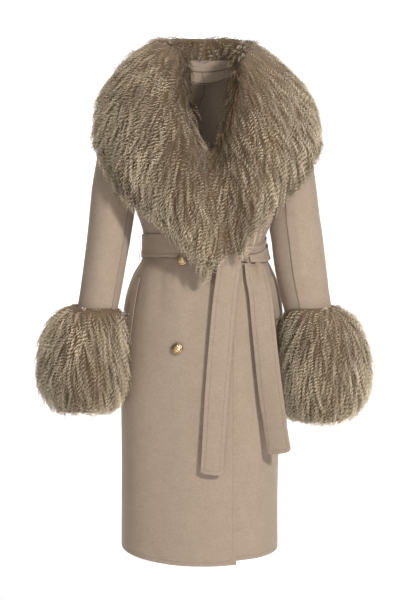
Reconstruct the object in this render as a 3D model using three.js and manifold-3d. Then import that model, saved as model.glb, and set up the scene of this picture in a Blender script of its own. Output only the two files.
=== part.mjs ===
// A woman's belted wool coat with a curly lamb-fur shawl collar and fur cuffs, hollow, in the shape
// that it has when it is worn.
//
// Millimetres. +Z is up, -Y is the front, +X is the wearer's left. The origin is in the middle of the
// neck, level with the top of the shoulders, where the wearer carries the coat.
import * as THREE from "three";
import { mergeVertices } from "three/addons/utils/BufferGeometryUtils.js";
import Module from "manifold-3d";

const wasm = await Module();
wasm.setup();

// ---------------------------------------------------------------- driving sizes
const CLOTH = 2.4; // double-faced wool
const SEAM = 0.3; // space left between two pieces at a seam
const REST = 0.5; // space under a piece that lies on another
const LAP = CLOTH + 2 * SEAM; // how far the right front is lifted where it lies on the left front
const BELT = 3.4; // a belt of two thin layers
const BELT_REST = 1.3; // space between the belt and the gathered cloth under it
const BELT_WIDTH = 52;
const SIDE = Math.PI / 2; // angle of the side seams, counted from the front middle
const BUTTON_RADIUS = 12.5;

// The coat's outline from the neck to the hem. half is the half width, front and back are depths from
// the side seam, square is the superellipse exponent, and the dips lower a ring at the front or back.
const RINGS = [
  { level: 8, centre: 0, half: 76, front: 56, back: 66, square: 2.0, dipFront: 0, dipBack: -24 },
  { level: 0, centre: 0, half: 92, front: 62, back: 74, square: 2.0, dipFront: 0, dipBack: -20 },
  { level: -10, centre: 1, half: 117, front: 68, back: 80, square: 2.1, dipFront: 0, dipBack: -15 },
  { level: -21, centre: 2, half: 145, front: 75, back: 86, square: 2.1, dipFront: 0, dipBack: -11 },
  { level: -34, centre: 3, half: 175, front: 82, back: 92, square: 2.2, dipFront: 0, dipBack: -7 },
  { level: -48, centre: 3, half: 199, front: 90, back: 98, square: 2.2, dipFront: 0, dipBack: -4 },
  { level: -66, centre: 4, half: 208, front: 99, back: 104, square: 2.3, dipFront: 0, dipBack: -2 },
  { level: -95, centre: 4, half: 209, front: 110, back: 111, square: 2.3, dipFront: 0, dipBack: 0 },
  { level: -135, centre: 4, half: 206, front: 121, back: 117, square: 2.3, dipFront: 0, dipBack: 0 },
  { level: -180, centre: 5, half: 198, front: 129, back: 121, square: 2.3, dipFront: 0, dipBack: 0 },
  { level: -225, centre: 5, half: 186, front: 133, back: 121, square: 2.3, dipFront: 0, dipBack: 0 },
  { level: -265, centre: 6, half: 172, front: 131, back: 117, square: 2.3, dipFront: 0, dipBack: 0 },
  { level: -295, centre: 7, half: 159, front: 126, back: 110, square: 2.3, dipFront: 0, dipBack: 0 },
  { level: -320, centre: 6, half: 149, front: 119, back: 104, square: 2.3, dipFront: 0, dipBack: 0 },
  { level: -341, centre: 3, half: 139, front: 112, back: 99, square: 2.2, dipFront: 0, dipBack: 0 },
  { level: -362, centre: 0, half: 134, front: 108, back: 97, square: 2.2, dipFront: 0, dipBack: 0 },
  { level: -385, centre: 0, half: 134, front: 108, back: 98, square: 2.2, dipFront: 0, dipBack: 0 },
  { level: -403, centre: 1, half: 138, front: 110, back: 101, square: 2.2, dipFront: 0, dipBack: 0 },
  { level: -418, centre: 1, half: 147, front: 114, back: 106, square: 2.2, dipFront: 0, dipBack: 0 },
  { level: -436, centre: 0, half: 157, front: 119, back: 113, square: 2.2, dipFront: 0, dipBack: 0 },
  { level: -458, centre: 0, half: 166, front: 124, back: 119, square: 2.2, dipFront: 0, dipBack: 0 },
  { level: -485, centre: -1, half: 174, front: 128, back: 125, square: 2.2, dipFront: 0, dipBack: 0 },
  { level: -520, centre: -2, half: 179, front: 131, back: 130, square: 2.2, dipFront: 0, dipBack: 0 },
  { level: -570, centre: -4, half: 182, front: 133, back: 132, square: 2.2, dipFront: 0, dipBack: 0 },
  { level: -650, centre: -6, half: 181, front: 135, back: 131, square: 2.2, dipFront: 0, dipBack: 0 },
  { level: -750, centre: -7, half: 180, front: 136, back: 130, square: 2.2, dipFront: 0, dipBack: 0 },
  { level: -850, centre: -9, half: 177, front: 137, back: 129, square: 2.3, dipFront: 0, dipBack: 0 },
  { level: -950, centre: -10, half: 177, front: 138, back: 128, square: 2.3, dipFront: -4, dipBack: 0 },
  { level: -1056, centre: -10, half: 178, front: 140, back: 128, square: 2.3, dipFront: -13, dipBack: -2 },
];

// Soft folds that the belt draws into the cloth. angle and spread are degrees round the body.
const FOLDS = [
  { angle: -122, spread: 12, depth: 5.5, middle: -446, reach: 80 },
  { angle: -152, spread: 11, depth: 4.5, middle: -440, reach: 66 },
  { angle: 177, spread: 12, depth: 6.0, middle: -452, reach: 90 },
  { angle: 147, spread: 11, depth: 4.5, middle: -440, reach: 66 },
  { angle: 117, spread: 12, depth: 5.5, middle: -448, reach: 82 },
  { angle: -136, spread: 12, depth: 4.0, middle: -318, reach: 40 },
  { angle: 163, spread: 12, depth: 4.0, middle: -316, reach: 42 },
  { angle: 128, spread: 11, depth: 3.5, middle: -320, reach: 38 },
];

// Where the free edge of each front lies across the body.
const FRONT_EDGES = [
  { level: 10, right: -56, left: 58 },
  { level: -60, right: -42, left: 46 },
  { level: -120, right: -14, left: 30 },
  { level: -165, right: 14, left: 16 },
  { level: -250, right: 44, left: -16 },
  { level: -335, right: 60, left: -38 },
  { level: -450, right: 67, left: -52 },
  { level: -630, right: 70, left: -56 },
  { level: -1066, right: 70, left: -56 },
];
const LEFT_FRONT_SHORTER = 9; // the under front stops this much above the upper one at the hem
const HEM_TILT = 2; // the hem is this much higher on the wearer's right and lower on the left

// Each sleeve from inside the armhole to its end. across is the half width seen from the front and
// deep the half width seen from the side. x counts outward from the body's middle.
const RIGHT_SLEEVE = [
  { x: 118, y: 4, z: -112, across: 72, deep: 56 },
  { x: 150, y: 4, z: -124, across: 86, deep: 63 },
  { x: 174, y: 3, z: -148, across: 66, deep: 64 },
  { x: 189, y: 0, z: -192, across: 51, deep: 63 },
  { x: 198, y: -7, z: -245, across: 52, deep: 61 },
  { x: 206, y: -19, z: -317, across: 50, deep: 58 },
  { x: 211.5, y: -28, z: -361, across: 49, deep: 56 },
  { x: 218, y: -38, z: -404, across: 47.5, deep: 54 },
  { x: 231.5, y: -55, z: -491, across: 45.5, deep: 51 },
  { x: 249, y: -68, z: -580, across: 43, deep: 48 },
  { x: 262, y: -75, z: -665, across: 44, deep: 47 },
];
const LEFT_SLEEVE = [
  { x: 118, y: 4, z: -112, across: 72, deep: 56 },
  { x: 150, y: 4, z: -124, across: 86, deep: 63 },
  { x: 174, y: 3, z: -148, across: 67, deep: 64 },
  { x: 190, y: 0, z: -192, across: 53, deep: 62 },
  { x: 195, y: -7, z: -245, across: 55, deep: 59 },
  { x: 200, y: -19, z: -317, across: 58, deep: 56 },
  { x: 206, y: -28, z: -361, across: 58, deep: 54 },
  { x: 212, y: -41, z: -417, across: 58, deep: 51 },
  { x: 225, y: -56, z: -491, across: 54, deep: 49 },
  { x: 242, y: -69, z: -580, across: 50, deep: 47 },
  { x: 255, y: -76, z: -665, across: 49, deep: 47 },
];
const SLEEVE_SEAMS = {
  right: { front: 136, back: 292 }, // degrees round the sleeve from its outer side, by way of the front
  left: { front: 111, back: 286 },
};

// Outline of each fur cuff in level rings. x counts outward from the body's middle.
const RIGHT_CUFF = [
  { x: 240, y: -59, z: -499, across: 52, deep: 56 },
  { x: 247, y: -61, z: -507, across: 66, deep: 66 },
  { x: 254, y: -64, z: -524, across: 79, deep: 78 },
  { x: 261, y: -69, z: -553, across: 91, deep: 89 },
  { x: 266, y: -73, z: -596, across: 99, deep: 96 },
  { x: 268, y: -76, z: -642, across: 103, deep: 98 },
  { x: 267, y: -78, z: -686, across: 99, deep: 94 },
  { x: 264, y: -79, z: -717, across: 84, deep: 81 },
  { x: 262, y: -79, z: -735, across: 64, deep: 64 },
];
const LEFT_CUFF = [
  { x: 230, y: -60, z: -499, across: 56, deep: 56 },
  { x: 239, y: -62, z: -507, across: 67, deep: 67 },
  { x: 249, y: -66, z: -526, across: 80, deep: 79 },
  { x: 258, y: -71, z: -558, across: 92, deep: 90 },
  { x: 265, y: -75, z: -603, across: 99, deep: 96 },
  { x: 268, y: -78, z: -655, across: 104, deep: 98 },
  { x: 264, y: -80, z: -703, across: 100, deep: 95 },
  { x: 257, y: -80, z: -737, across: 86, deep: 83 },
  { x: 252, y: -80, z: -755, across: 65, deep: 65 },
];

// Sections of the fur collar from the middle of the back to the end of the lapel: the edge at the
// neck, three points over the top of the fur, the hanging edge, and a point inside the body.
// x counts outward from the body's middle; below zero it is past the middle.
const COLLAR_BACK = [
  { neck: [-42, 50, 40], rise: [-52, 70, 91], top: [-95, 122, 50],
    fall: [-128, 152, -75], edge: [-118, 130, -215], core: [-40, 15, -100] },
  { neck: [0, 60, 39], rise: [0, 84, 91], top: [0, 134, 50],
    fall: [0, 166, -75], edge: [0, 142, -218], core: [0, 20, -90] },
  { neck: [42, 50, 40], rise: [52, 70, 91], top: [95, 122, 50],
    fall: [128, 152, -75], edge: [118, 130, -215], core: [40, 15, -100] },
];
const RIGHT_COLLAR = [
  ...COLLAR_BACK,
  { neck: [60, 22, 41], rise: [86, 34, 84], top: [148, 72, 42],
    fall: [208, 98, -60], edge: [204, 82, -188], core: [70, 5, -110] },
  { neck: [58, -4, 38], rise: [98, 0, 76], top: [174, 0, 34],
    fall: [240, -4, -54], edge: [244, -12, -150], core: [90, 0, -120] },
  { neck: [30, -44, 32], rise: [74, -62, 66], top: [160, -70, 18],
    fall: [226, -72, -84], edge: [234, -70, -186], core: [80, -10, -130] },
  { neck: [22, -84, -16], rise: [56, -114, 22], top: [136, -128, -35],
    fall: [196, -124, -140], edge: [190, -98, -262], core: [60, -20, -150] },
  { neck: [18, -106, -75], rise: [46, -146, -50], top: [108, -165, -110],
    fall: [152, -158, -205], edge: [148, -120, -306], core: [40, -30, -190] },
  { neck: [4, -122, -130], rise: [28, -168, -120], top: [80, -184, -180],
    fall: [110, -176, -260], edge: [101, -136, -332], core: [20, -40, -240] },
  { neck: [-15, -132, -172], rise: [0, -178, -185], top: [42, -194, -245],
    fall: [68, -186, -310], edge: [67, -142, -367], core: [0, -40, -290] },
  { neck: [-43, -136, -245], rise: [-30, -182, -262], top: [4, -196, -318],
    fall: [22, -190, -376], edge: [27, -156, -415], core: [-10, -40, -340] },
  { neck: [-60, -136, -310], rise: [-50, -178, -330], top: [-22, -194, -374],
    fall: [-2, -188, -422], edge: [4, -160, -450], core: [-25, -60, -370] },
  { neck: [-66, -134, -350], rise: [-58, -174, -362], top: [-36, -188, -392],
    fall: [-18, -182, -420], edge: [-10, -160, -434], core: [-38, -60, -380] },
  { neck: [-67, -136, -388], rise: [-61, -168, -392], top: [-47, -178, -397],
    fall: [-34, -174, -402], edge: [-24, -158, -405], core: [-45, -60, -382] },
];
const LEFT_COLLAR = [
  ...COLLAR_BACK,
  { neck: [62, 24, 40], rise: [86, 34, 82], top: [144, 72, 32],
    fall: [206, 98, -60], edge: [204, 82, -188], core: [70, 5, -110] },
  { neck: [63, 0, 36], rise: [98, 0, 73], top: [172, 0, 30],
    fall: [243, -4, -54], edge: [259, -12, -150], core: [90, 0, -120] },
  { neck: [58, -42, 18], rise: [94, -58, 58], top: [166, -70, 16],
    fall: [240, -72, -76], edge: [252, -72, -190], core: [80, -10, -130] },
  { neck: [56, -82, -20], rise: [78, -112, 16], top: [148, -128, -35],
    fall: [212, -122, -130], edge: [216, -96, -244], core: [60, -20, -150] },
  { neck: [44, -106, -66], rise: [66, -146, -50], top: [126, -165, -100],
    fall: [176, -158, -190], edge: [178, -120, -274], core: [50, -30, -180] },
  { neck: [28, -122, -120], rise: [52, -168, -115], top: [106, -184, -170],
    fall: [144, -174, -242], edge: [148, -132, -312], core: [40, -40, -230] },
  { neck: [16, -132, -172], rise: [40, -180, -180], top: [84, -194, -235],
    fall: [112, -184, -296], edge: [118, -142, -350], core: [40, -40, -270] },
  { neck: [44, -136, -245], rise: [54, -182, -262], top: [78, -192, -305],
    fall: [92, -182, -350], edge: [97, -150, -382], core: [50, -40, -320] },
  { neck: [60, -134, -320], rise: [66, -172, -334], top: [77, -182, -356],
    fall: [84, -174, -374], edge: [89, -152, -386], core: [60, -60, -350] },
  { neck: [66, -136, -386], rise: [69, -168, -390], top: [75, -176, -393],
    fall: [80, -170, -393], edge: [85, -154, -391], core: [70, -60, -372] },
];
// The line on the chest where the two lapels meet, from the bottom of the neckline to the lapel ends.
const LAPEL_MEETING = [
  { x: 0, z: 260 },
  { x: 0, z: -120 },
  { x: 15, z: -168 },
  { x: 43, z: -245 },
  { x: 61, z: -335 },
  { x: 69, z: -480 },
];

// Middle height of the belt round the waist, by degrees from the front.
const BELT_LINE = [
  { angle: -180, z: -378 },
  { angle: -90, z: -375 },
  { angle: -30, z: -367 },
  { angle: 15, z: -370 },
  { angle: 50, z: -384 },
  { angle: 78, z: -383 },
  { angle: 100, z: -380 },
  { angle: 180, z: -378 },
];
// The two hanging ends of the belt: their left and right edges, as seen from the front.
const FRONT_TAIL = [
  { z: -362, leftX: 34, leftY: -136, rightX: 83, rightY: -126.3 },
  { z: -386, leftX: 32, leftY: -137, rightX: 81, rightY: -128 },
  { z: -414, leftX: 28, leftY: -138, rightX: 78, rightY: -130 },
  { z: -480, leftX: 19, leftY: -143, rightX: 69, rightY: -138 },
  { z: -588, leftX: 9, leftY: -147, rightX: 60, rightY: -144 },
  { z: -696, leftX: 1, leftY: -150, rightX: 51, rightY: -149 },
  { z: -790, leftX: -4, leftY: -152, rightX: 45, rightY: -151 },
  { z: -861, leftX: -8, leftY: -153, rightX: 41, rightY: -153 },
];
const SIDE_TAIL = [
  { z: -406, leftX: 87, leftY: -101.3, rightX: 130, rightY: -75.8 },
  { z: -432, leftX: 89, leftY: -111, rightX: 138, rightY: -93 },
  { z: -462, leftX: 96, leftY: -117, rightX: 145, rightY: -112 },
  { z: -520, leftX: 101, leftY: -122, rightX: 152, rightY: -123 },
  { z: -609, leftX: 110, leftY: -122, rightX: 161, rightY: -131 },
  { z: -697, leftX: 120, leftY: -119, rightX: 172, rightY: -135 },
  { z: -770, leftX: 131, leftY: -117, rightX: 182, rightY: -135 },
  { z: -820, leftX: 139, leftY: -116, rightX: 190, rightY: -135 },
];
const BUTTONS = [
  { name: "button_upper", x: -46, level: -398, shank: 9 },
  { name: "button_lower", x: -57, level: -587, shank: 5 },
];

const WOOL = new THREE.MeshStandardMaterial({ color: 0xad9b8a, roughness: 0.9, metalness: 0 });
const FUR = new THREE.MeshStandardMaterial({ color: 0x83725e, roughness: 0.8, metalness: 0 });
const GILT = new THREE.MeshStandardMaterial({ color: 0xc9a26b, roughness: 0.25, metalness: 1 });
const THREAD = new THREE.MeshStandardMaterial({ color: 0x6d5f52, roughness: 0.8, metalness: 0 });

// ---------------------------------------------------------------- tools for tables and surfaces
const { clamp, degToRad, lerp } = THREE.MathUtils;

function smooth(from, to, x) {
  const t = clamp((x - from) / (to - from), 0, 1);
  return t * t * (3 - 2 * t);
}

// The slope of a table's column at row i.
function slope(table, along, name, i) {
  const before = table[Math.max(i - 1, 0)];
  const after = table[Math.min(i + 1, table.length - 1)];
  return (after[name] - before[name]) / (after[along] - before[along]);
}

// A table's column read at any place of another column, as one smooth curve through its rows.
function read(table, along, name, place) {
  const down = table[0][along] > table[table.length - 1][along];
  let i = table.findIndex((row) => (down ? row[along] <= place : row[along] >= place));
  i = clamp(i < 0 ? table.length - 1 : i, 1, table.length - 1);
  const [a, b] = [table[i - 1], table[i]];
  const span = b[along] - a[along];
  const t = clamp((place - a[along]) / span, -0.2, 1.2);
  const [t2, t3] = [t * t, t * t * t];
  return (
    a[name] * (2 * t3 - 3 * t2 + 1) +
    b[name] * (3 * t2 - 2 * t3) +
    slope(table, along, name, i - 1) * span * (t3 - 2 * t2 + t) +
    slope(table, along, name, i) * span * (t3 - t2)
  );
}

// A point moved off a surface along the surface's outward side. surface(u, v) gives its points.
function movedOff(surface, u, v, out) {
  const step = 0.5;
  const du = surface(u + step, v).sub(surface(u - step, v));
  const dv = surface(u, v + step).sub(surface(u, v - step));
  const normal = du.cross(dv).normalize();
  return surface(u, v).addScaledVector(normal, out);
}

// A closed mesh from its faces, turned round if they point inward.
function closedMesh(points, faces) {
  const geometry = new THREE.BufferGeometry();
  geometry.setAttribute("position", new THREE.Float32BufferAttribute(points.flatMap((p) => p.toArray()), 3));
  const volume = faces.reduce(
    (sum, [a, b, c]) => sum + points[a].dot(new THREE.Vector3().crossVectors(points[b], points[c])),
    0,
  );
  geometry.setIndex(faces.flatMap(([a, b, c]) => (volume < 0 ? [a, c, b] : [a, b, c])));
  return geometry;
}

// Two triangles for each cell of a grid of point numbers.
function cells(grid) {
  const faces = [];
  for (let i = 0; i + 1 < grid.length; i++) {
    for (let j = 0; j + 1 < grid[i].length; j++) {
      const [a, b, c, d] = [grid[i][j], grid[i][j + 1], grid[i + 1][j + 1], grid[i + 1][j]];
      faces.push([a, b, c], [a, c, d]);
    }
  }
  return faces;
}

// A sheet of cloth: point(i, j, side) with side 1 outside and 0 inside. A round sheet meets itself.
function sheet(rows, columns, point, round = false) {
  const points = [];
  const gridOf = (side) =>
    Array.from({ length: rows }, (_, i) => {
      const row = Array.from({ length: columns }, (_, j) => points.push(point(i, j, side)) - 1);
      return round ? [...row, row[0]] : row;
    });
  const [inside, outside] = [gridOf(0), gridOf(1)];
  const last = rows - 1;
  const faces = [...cells(outside), ...cells(inside.map((row) => [...row].reverse()))];
  faces.push(...cells([inside[0], outside[0]]), ...cells([outside[last], inside[last]]));
  if (!round) {
    const end = columns - 1;
    faces.push(...cells([outside.map((row) => row[0]), inside.map((row) => row[0])]));
    faces.push(...cells([inside.map((row) => row[end]), outside.map((row) => row[end])]));
  }
  return closedMesh(points, faces);
}

// A solid through closed rings of points, with a flat face across each end.
function filled(rings) {
  const points = rings.flat();
  const size = rings[0].length;
  const grid = rings.map((ring, i) => [...ring.keys(), 0].map((j) => i * size + j));
  const faces = cells(grid);
  for (const [i, turned] of [[0, true], [rings.length - 1, false]]) {
    const middle = new THREE.Vector3();
    rings[i].forEach((p) => middle.addScaledVector(p, 1 / size));
    const centre = points.push(middle) - 1;
    for (let j = 0; j < size; j++) {
      const [a, b] = [grid[i][j], grid[i][j + 1]];
      faces.push(turned ? [centre, b, a] : [centre, a, b]);
    }
  }
  return closedMesh(points, faces);
}

function solid(geometry) {
  const bare = geometry.clone();
  bare.deleteAttribute("normal");
  bare.deleteAttribute("uv");
  const merged = mergeVertices(bare, 1e-3);
  const vertProperties = merged.attributes.position.array;
  return new wasm.Manifold(
    new wasm.Mesh({ numProp: 3, vertProperties, triVerts: new Uint32Array(merged.index.array) }),
  );
}

// The largest body of a cut solid, as a geometry.
function geometryOf(cut) {
  const body = cut.decompose().sort((a, b) => b.volume() - a.volume())[0];
  const mesh = body.getMesh();
  const geometry = new THREE.BufferGeometry();
  geometry.setAttribute("position", new THREE.BufferAttribute(mesh.vertProperties, 3));
  geometry.setIndex(new THREE.BufferAttribute(mesh.triVerts, 1));
  return geometry;
}

const coat = new THREE.Group();
function add(name, geometry, material) {
  const mesh = new THREE.Mesh(geometry, material);
  mesh.name = name;
  coat.add(mesh);
  return mesh;
}

// ---------------------------------------------------------------- the body's surface
const power = (base, exponent) => Math.sign(base) * Math.abs(base) ** exponent;

function fold(angle, level) {
  return FOLDS.reduce((sum, f) => {
    const turn = ((THREE.MathUtils.radToDeg(angle) - f.angle + 540) % 360) - 180;
    return sum - f.depth * Math.exp(-((turn / f.spread) ** 2) - ((level - f.middle) / f.reach) ** 2);
  }, 0);
}

// The coat's outer surface. angle is 0 at the front middle and grows towards the wearer's left.
function bodySkin(angle, level) {
  const ring = (name) => read(RINGS, "level", name, level);
  const [across, along] = [Math.sin(angle), Math.cos(angle)];
  const exponent = 2 / ring("square");
  const depth = ring(along > 0 ? "front" : "back");
  const crease = fold(angle, level);
  return new THREE.Vector3(
    ring("centre") + (ring("half") + crease) * power(across, exponent),
    -(depth + crease) * power(along, exponent),
    level +
      (ring("dipFront") * Math.max(along, 0) + ring("dipBack") * Math.max(-along, 0)) * Math.abs(along) -
      HEM_TILT * across * smooth(-850, -1050, level),
  );
}

// bodySkin moved outward. The level is a distance in millimetres, so the angle is scaled to match.
const TURN = 150;
const bodyPoint = (angle, level, out) => movedOff((u, v) => bodySkin(u / TURN, v), angle * TURN, level, out);

// The angle at which the front's surface has a given x.
function angleAt(x, level) {
  const share = (x - read(RINGS, "level", "centre", level)) / read(RINGS, "level", "half", level);
  return Math.asin(clamp(power(share, read(RINGS, "level", "square", level) / 2), -1, 1));
}

const LEVELS = RINGS.map((ring) => ring.level);
const edgeX = (side, level) => read(FRONT_EDGES, "level", side, level);

// How far the right front is lifted off the body's surface by the left front beneath it.
function lapLift(x, level) {
  const edge = edgeX("left", level);
  return LAP * smooth(edge - 45, edge - 8, x);
}

// ---------------------------------------------------------------- sleeves as tubes
// A ring of a sleeve at place t along its table. Angle 0 is the outer side and 90 the front.
function sleevePoint(table, side, t, angle, out) {
  const rows = table.map((row, i) => ({ ...row, i }));
  const at = (name, place) => read(rows, "i", name, place);
  const step = 0.05;
  const along = new THREE.Vector3(
    at("x", t + step) - at("x", t - step),
    0,
    at("z", t + step) - at("z", t - step),
  ).normalize();
  const outward = new THREE.Vector3(-along.z, 0, along.x);
  const p = new THREE.Vector3(at("x", t), at("y", t), at("z", t))
    .addScaledVector(outward, (at("across", t) + out) * Math.cos(angle))
    .add(new THREE.Vector3(0, -(at("deep", t) + out) * Math.sin(angle), 0));
  p.x *= side;
  return p;
}

// The whole of a sleeve as a solid, as wide as its outside moved by out, and longer by extra rows.
const SLEEVE_REFINE = 2; // rings for each row of the table
function sleeveFilled(table, side, out, around, refine = SLEEVE_REFINE) {
  return filled(
    Array.from({ length: (table.length - 1) * refine + 1 }, (_, i) =>
      Array.from({ length: around }, (_, j) =>
        sleevePoint(table, side, i / refine, (j * 2 * Math.PI) / around, out),
      ),
    ),
  );
}

// The arm's way on past the end of each sleeve, so that the cuff's mouth stays open.
function armBeyond(table) {
  const end = table[table.length - 1];
  return [
    ...table.slice(-5),
    { ...end, x: end.x + 9, y: end.y - 4, z: end.z - 60 },
    { ...end, x: end.x + 16, y: end.y - 6, z: end.z - 140 },
  ];
}

const SLEEVES = [
  { name: "right", side: -1, table: RIGHT_SLEEVE, cuff: RIGHT_CUFF },
  { name: "left", side: 1, table: LEFT_SLEEVE, cuff: LEFT_CUFF },
];

// ---------------------------------------------------------------- solids that pieces are cut with
function bodyFilled(out, size) {
  return solid(
    filled(
      LEVELS.map((level) =>
        Array.from({ length: size }, (_, j) => bodyPoint((j * 2 * Math.PI) / size - Math.PI, level, out)),
      ),
    ),
  );
}

const armholes = SLEEVES.map((s) => solid(sleeveFilled(s.table, s.side, -CLOTH, 24)));
const cutArmholes = (geometry) =>
  geometryOf(armholes.reduce((body, hole) => body.subtract(hole), solid(geometry)));

// ---------------------------------------------------------------- fronts and back
const SIDE_GAP = SEAM / 2 / 70; // half a seam, as an angle at the side
const DOUBLED = 4; // columns across the part where the fronts lie on each other
const SINGLE = { right: 8, left: 7 }; // columns from there to the side seam
const BACK_COLUMNS = 17;

// Angles across a front at one level, from the wearer's right to the left.
function frontAngles(name, level) {
  const [right, left] = [edgeX("right", level), edgeX("left", level)];
  const edge = name === "right" ? right : left;
  const inner = name === "right" ? Math.min(left, right - 10) : Math.max(right, left + 10);
  const side = name === "right" ? SIDE_GAP - SIDE : SIDE - SIDE_GAP;
  const single = Array.from({ length: SINGLE[name] }, (_, j) =>
    lerp(side, angleAt(inner, level), j / SINGLE[name]),
  );
  const doubled = Array.from({ length: DOUBLED + 1 }, (_, j) =>
    angleAt(lerp(inner, edge, j / DOUBLED), level),
  );
  const angles = [...single, ...doubled];
  return name === "right" ? angles : angles.reverse();
}

// One front. lift and rise move its points out and up.
function front(name, lift, rise) {
  const grid = LEVELS.map((level) =>
    frontAngles(name, level).map((angle) => ({ angle, level: level + rise(level) * Math.cos(angle) ** 2 })),
  );
  return sheet(LEVELS.length, SINGLE[name] + DOUBLED + 1, (i, j, outside) => {
    const { angle, level } = grid[i][j];
    const x = bodySkin(angle, level).x;
    return bodyPoint(angle, level, lift(x, level) - (outside ? 0 : CLOTH));
  });
}

const hemRise = (level) => LEFT_FRONT_SHORTER * smooth(-900, -1050, level);
add("front_right", cutArmholes(front("right", lapLift, () => 0)), WOOL);
add("front_left", cutArmholes(front("left", () => 0, hemRise)), WOOL);
const backPanel = sheet(LEVELS.length, BACK_COLUMNS, (i, j, outside) => {
  const angle = lerp(SIDE + SIDE_GAP, 2 * Math.PI - SIDE - SIDE_GAP, j / (BACK_COLUMNS - 1));
  return bodyPoint(angle, LEVELS[i], outside ? 0 : -CLOTH);
});
add("back", cutArmholes(backPanel), WOOL);

// ---------------------------------------------------------------- sleeves, each a top and an under piece
const bodyGrown = bodyFilled(REST + 0.4, 48);

function sleevePiece(s, from, to, columns) {
  const rows = (s.table.length - 1) * SLEEVE_REFINE + 1;
  const gap = SEAM / 2 / 50;
  const piece = sheet(rows, columns, (i, j, outside) => {
    const angle = lerp(degToRad(from) + gap, degToRad(to) - gap, j / (columns - 1));
    return sleevePoint(s.table, s.side, i / SLEEVE_REFINE, angle, outside ? 0 : -CLOTH);
  });
  return geometryOf(solid(piece).subtract(bodyGrown));
}

for (const s of SLEEVES) {
  const seam = SLEEVE_SEAMS[s.name];
  add(`sleeve_${s.name}_top`, sleevePiece(s, seam.back - 360, seam.front, 10), WOOL);
  add(`sleeve_${s.name}_under`, sleevePiece(s, seam.front, seam.back, 9), WOOL);
}

// ---------------------------------------------------------------- collar stand, in two bands
const STAND = { from: degToRad(62), to: degToRad(298), lower: 26, upper: 26, lean: 4 };

// height counts up from the neck seam. The bands lean towards the neck.
function standPoint(angle, height, out) {
  const seam = bodySkin(angle, LEVELS[0]);
  const inward = (STAND.lean * height) / (STAND.lower + STAND.upper);
  const away = new THREE.Vector3(seam.x, seam.y, 0).normalize();
  const share = 0.6 - (0.4 * (seam.z - LEVELS[0])) / 24;
  return seam
    .addScaledVector(away, out - inward)
    .add(new THREE.Vector3(0, 0, height * share));
}

function standBand(bottom, top) {
  const columns = 17;
  return sheet(2, columns, (i, j, outside) => {
    const angle = lerp(STAND.from, STAND.to, j / (columns - 1));
    return standPoint(angle, i ? bottom : top, outside ? 0 : -CLOTH);
  });
}

add("collar_stand", standBand(2 * SEAM, STAND.lower), WOOL);
add("collar_stand_upper", standBand(STAND.lower + 2 * SEAM, STAND.lower + STAND.upper), WOOL);

// ---------------------------------------------------------------- belt round the waist
const beltZ = (angle) => {
  const turned = ((THREE.MathUtils.radToDeg(angle) + 540) % 360) - 180;
  return read(BELT_LINE, "angle", "z", turned);
};

// How far the overlapped fronts hold the belt off the body's surface.
function beltLift(x, y, level) {
  const past = edgeX("right", level);
  return y > 0 ? 0 : lapLift(x, level) * (1 - smooth(past + 6, past + 40, x));
}

// height is from -1 at the belt's bottom edge to 1 at its top edge.
function beltPoint(angle, height, out) {
  const level = beltZ(angle) + (height * BELT_WIDTH) / 2;
  const skin = bodySkin(angle, level);
  const bowed = 1.2 * (1 - height * height);
  return bodyPoint(angle, level, beltLift(skin.x, skin.y, level) + BELT_REST + bowed + out);
}

// Its top edge sinks where it is drawn into the knot.
const DRAWN = { from: 92, to: 50, sink: 0.52 };
const belt = sheet(
  4,
  40,
  (i, j, outside) => {
    const degrees = j * 9 - 180;
    const drawn = DRAWN.sink * smooth(DRAWN.from, DRAWN.to, degrees) * smooth(20, 40, degrees);
    const height = 1 - (2 * i) / 3 - (i ? drawn / (1 + i) : drawn);
    return beltPoint(degToRad(degrees), Math.max(height, -1), outside ? BELT : 0);
  },
  true,
);
add("belt", belt, WOOL);

// The turn of the belt that comes round from the side and narrows into the knot.
const TURN_START = { angle: degToRad(112), low: -1, high: 0.6 };
const TURN_END = { angle: degToRad(41), low: -0.98, high: -0.35 };
const turnPiece = sheet(3, 9, (i, j, outside) => {
  const share = j / 8;
  const angle = lerp(TURN_START.angle, TURN_END.angle, share);
  const low = lerp(TURN_START.low, TURN_END.low, share);
  const high = lerp(TURN_START.high, TURN_END.high, share);
  return beltPoint(angle, lerp(high, low, i / 2), BELT + 1 + (outside ? BELT : 0));
});
add("belt_turn", turnPiece, WOOL);

// The knot: a fold of the belt over its own front. stand is how far it stands off the belt.
const KNOT = { left: 34, right: 78 };
const KNOT_PROFILE = [
  { place: -1, stand: 0 },
  { place: -0.8, stand: 10 },
  { place: -0.4, stand: 16 },
  { place: 0, stand: 17.5 },
  { place: 0.4, stand: 15 },
  { place: 0.8, stand: 9 },
  { place: 1, stand: 0 },
];
const knot = sheet(9, 5, (i, j, outside) => {
  const place = 1 - i / 4;
  const x = lerp(KNOT.left, KNOT.right, j / 4) - 5 * place;
  const stand = read(KNOT_PROFILE, "place", "stand", place);
  const pleat = j % 2 ? -2.5 * (1 - place * place) : 0;
  const out = BELT + REST + stand + pleat + (outside ? BELT : 0);
  return beltPoint(angleAt(x, -372), place, out);
});
add("belt_knot", knot, WOOL);

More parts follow.
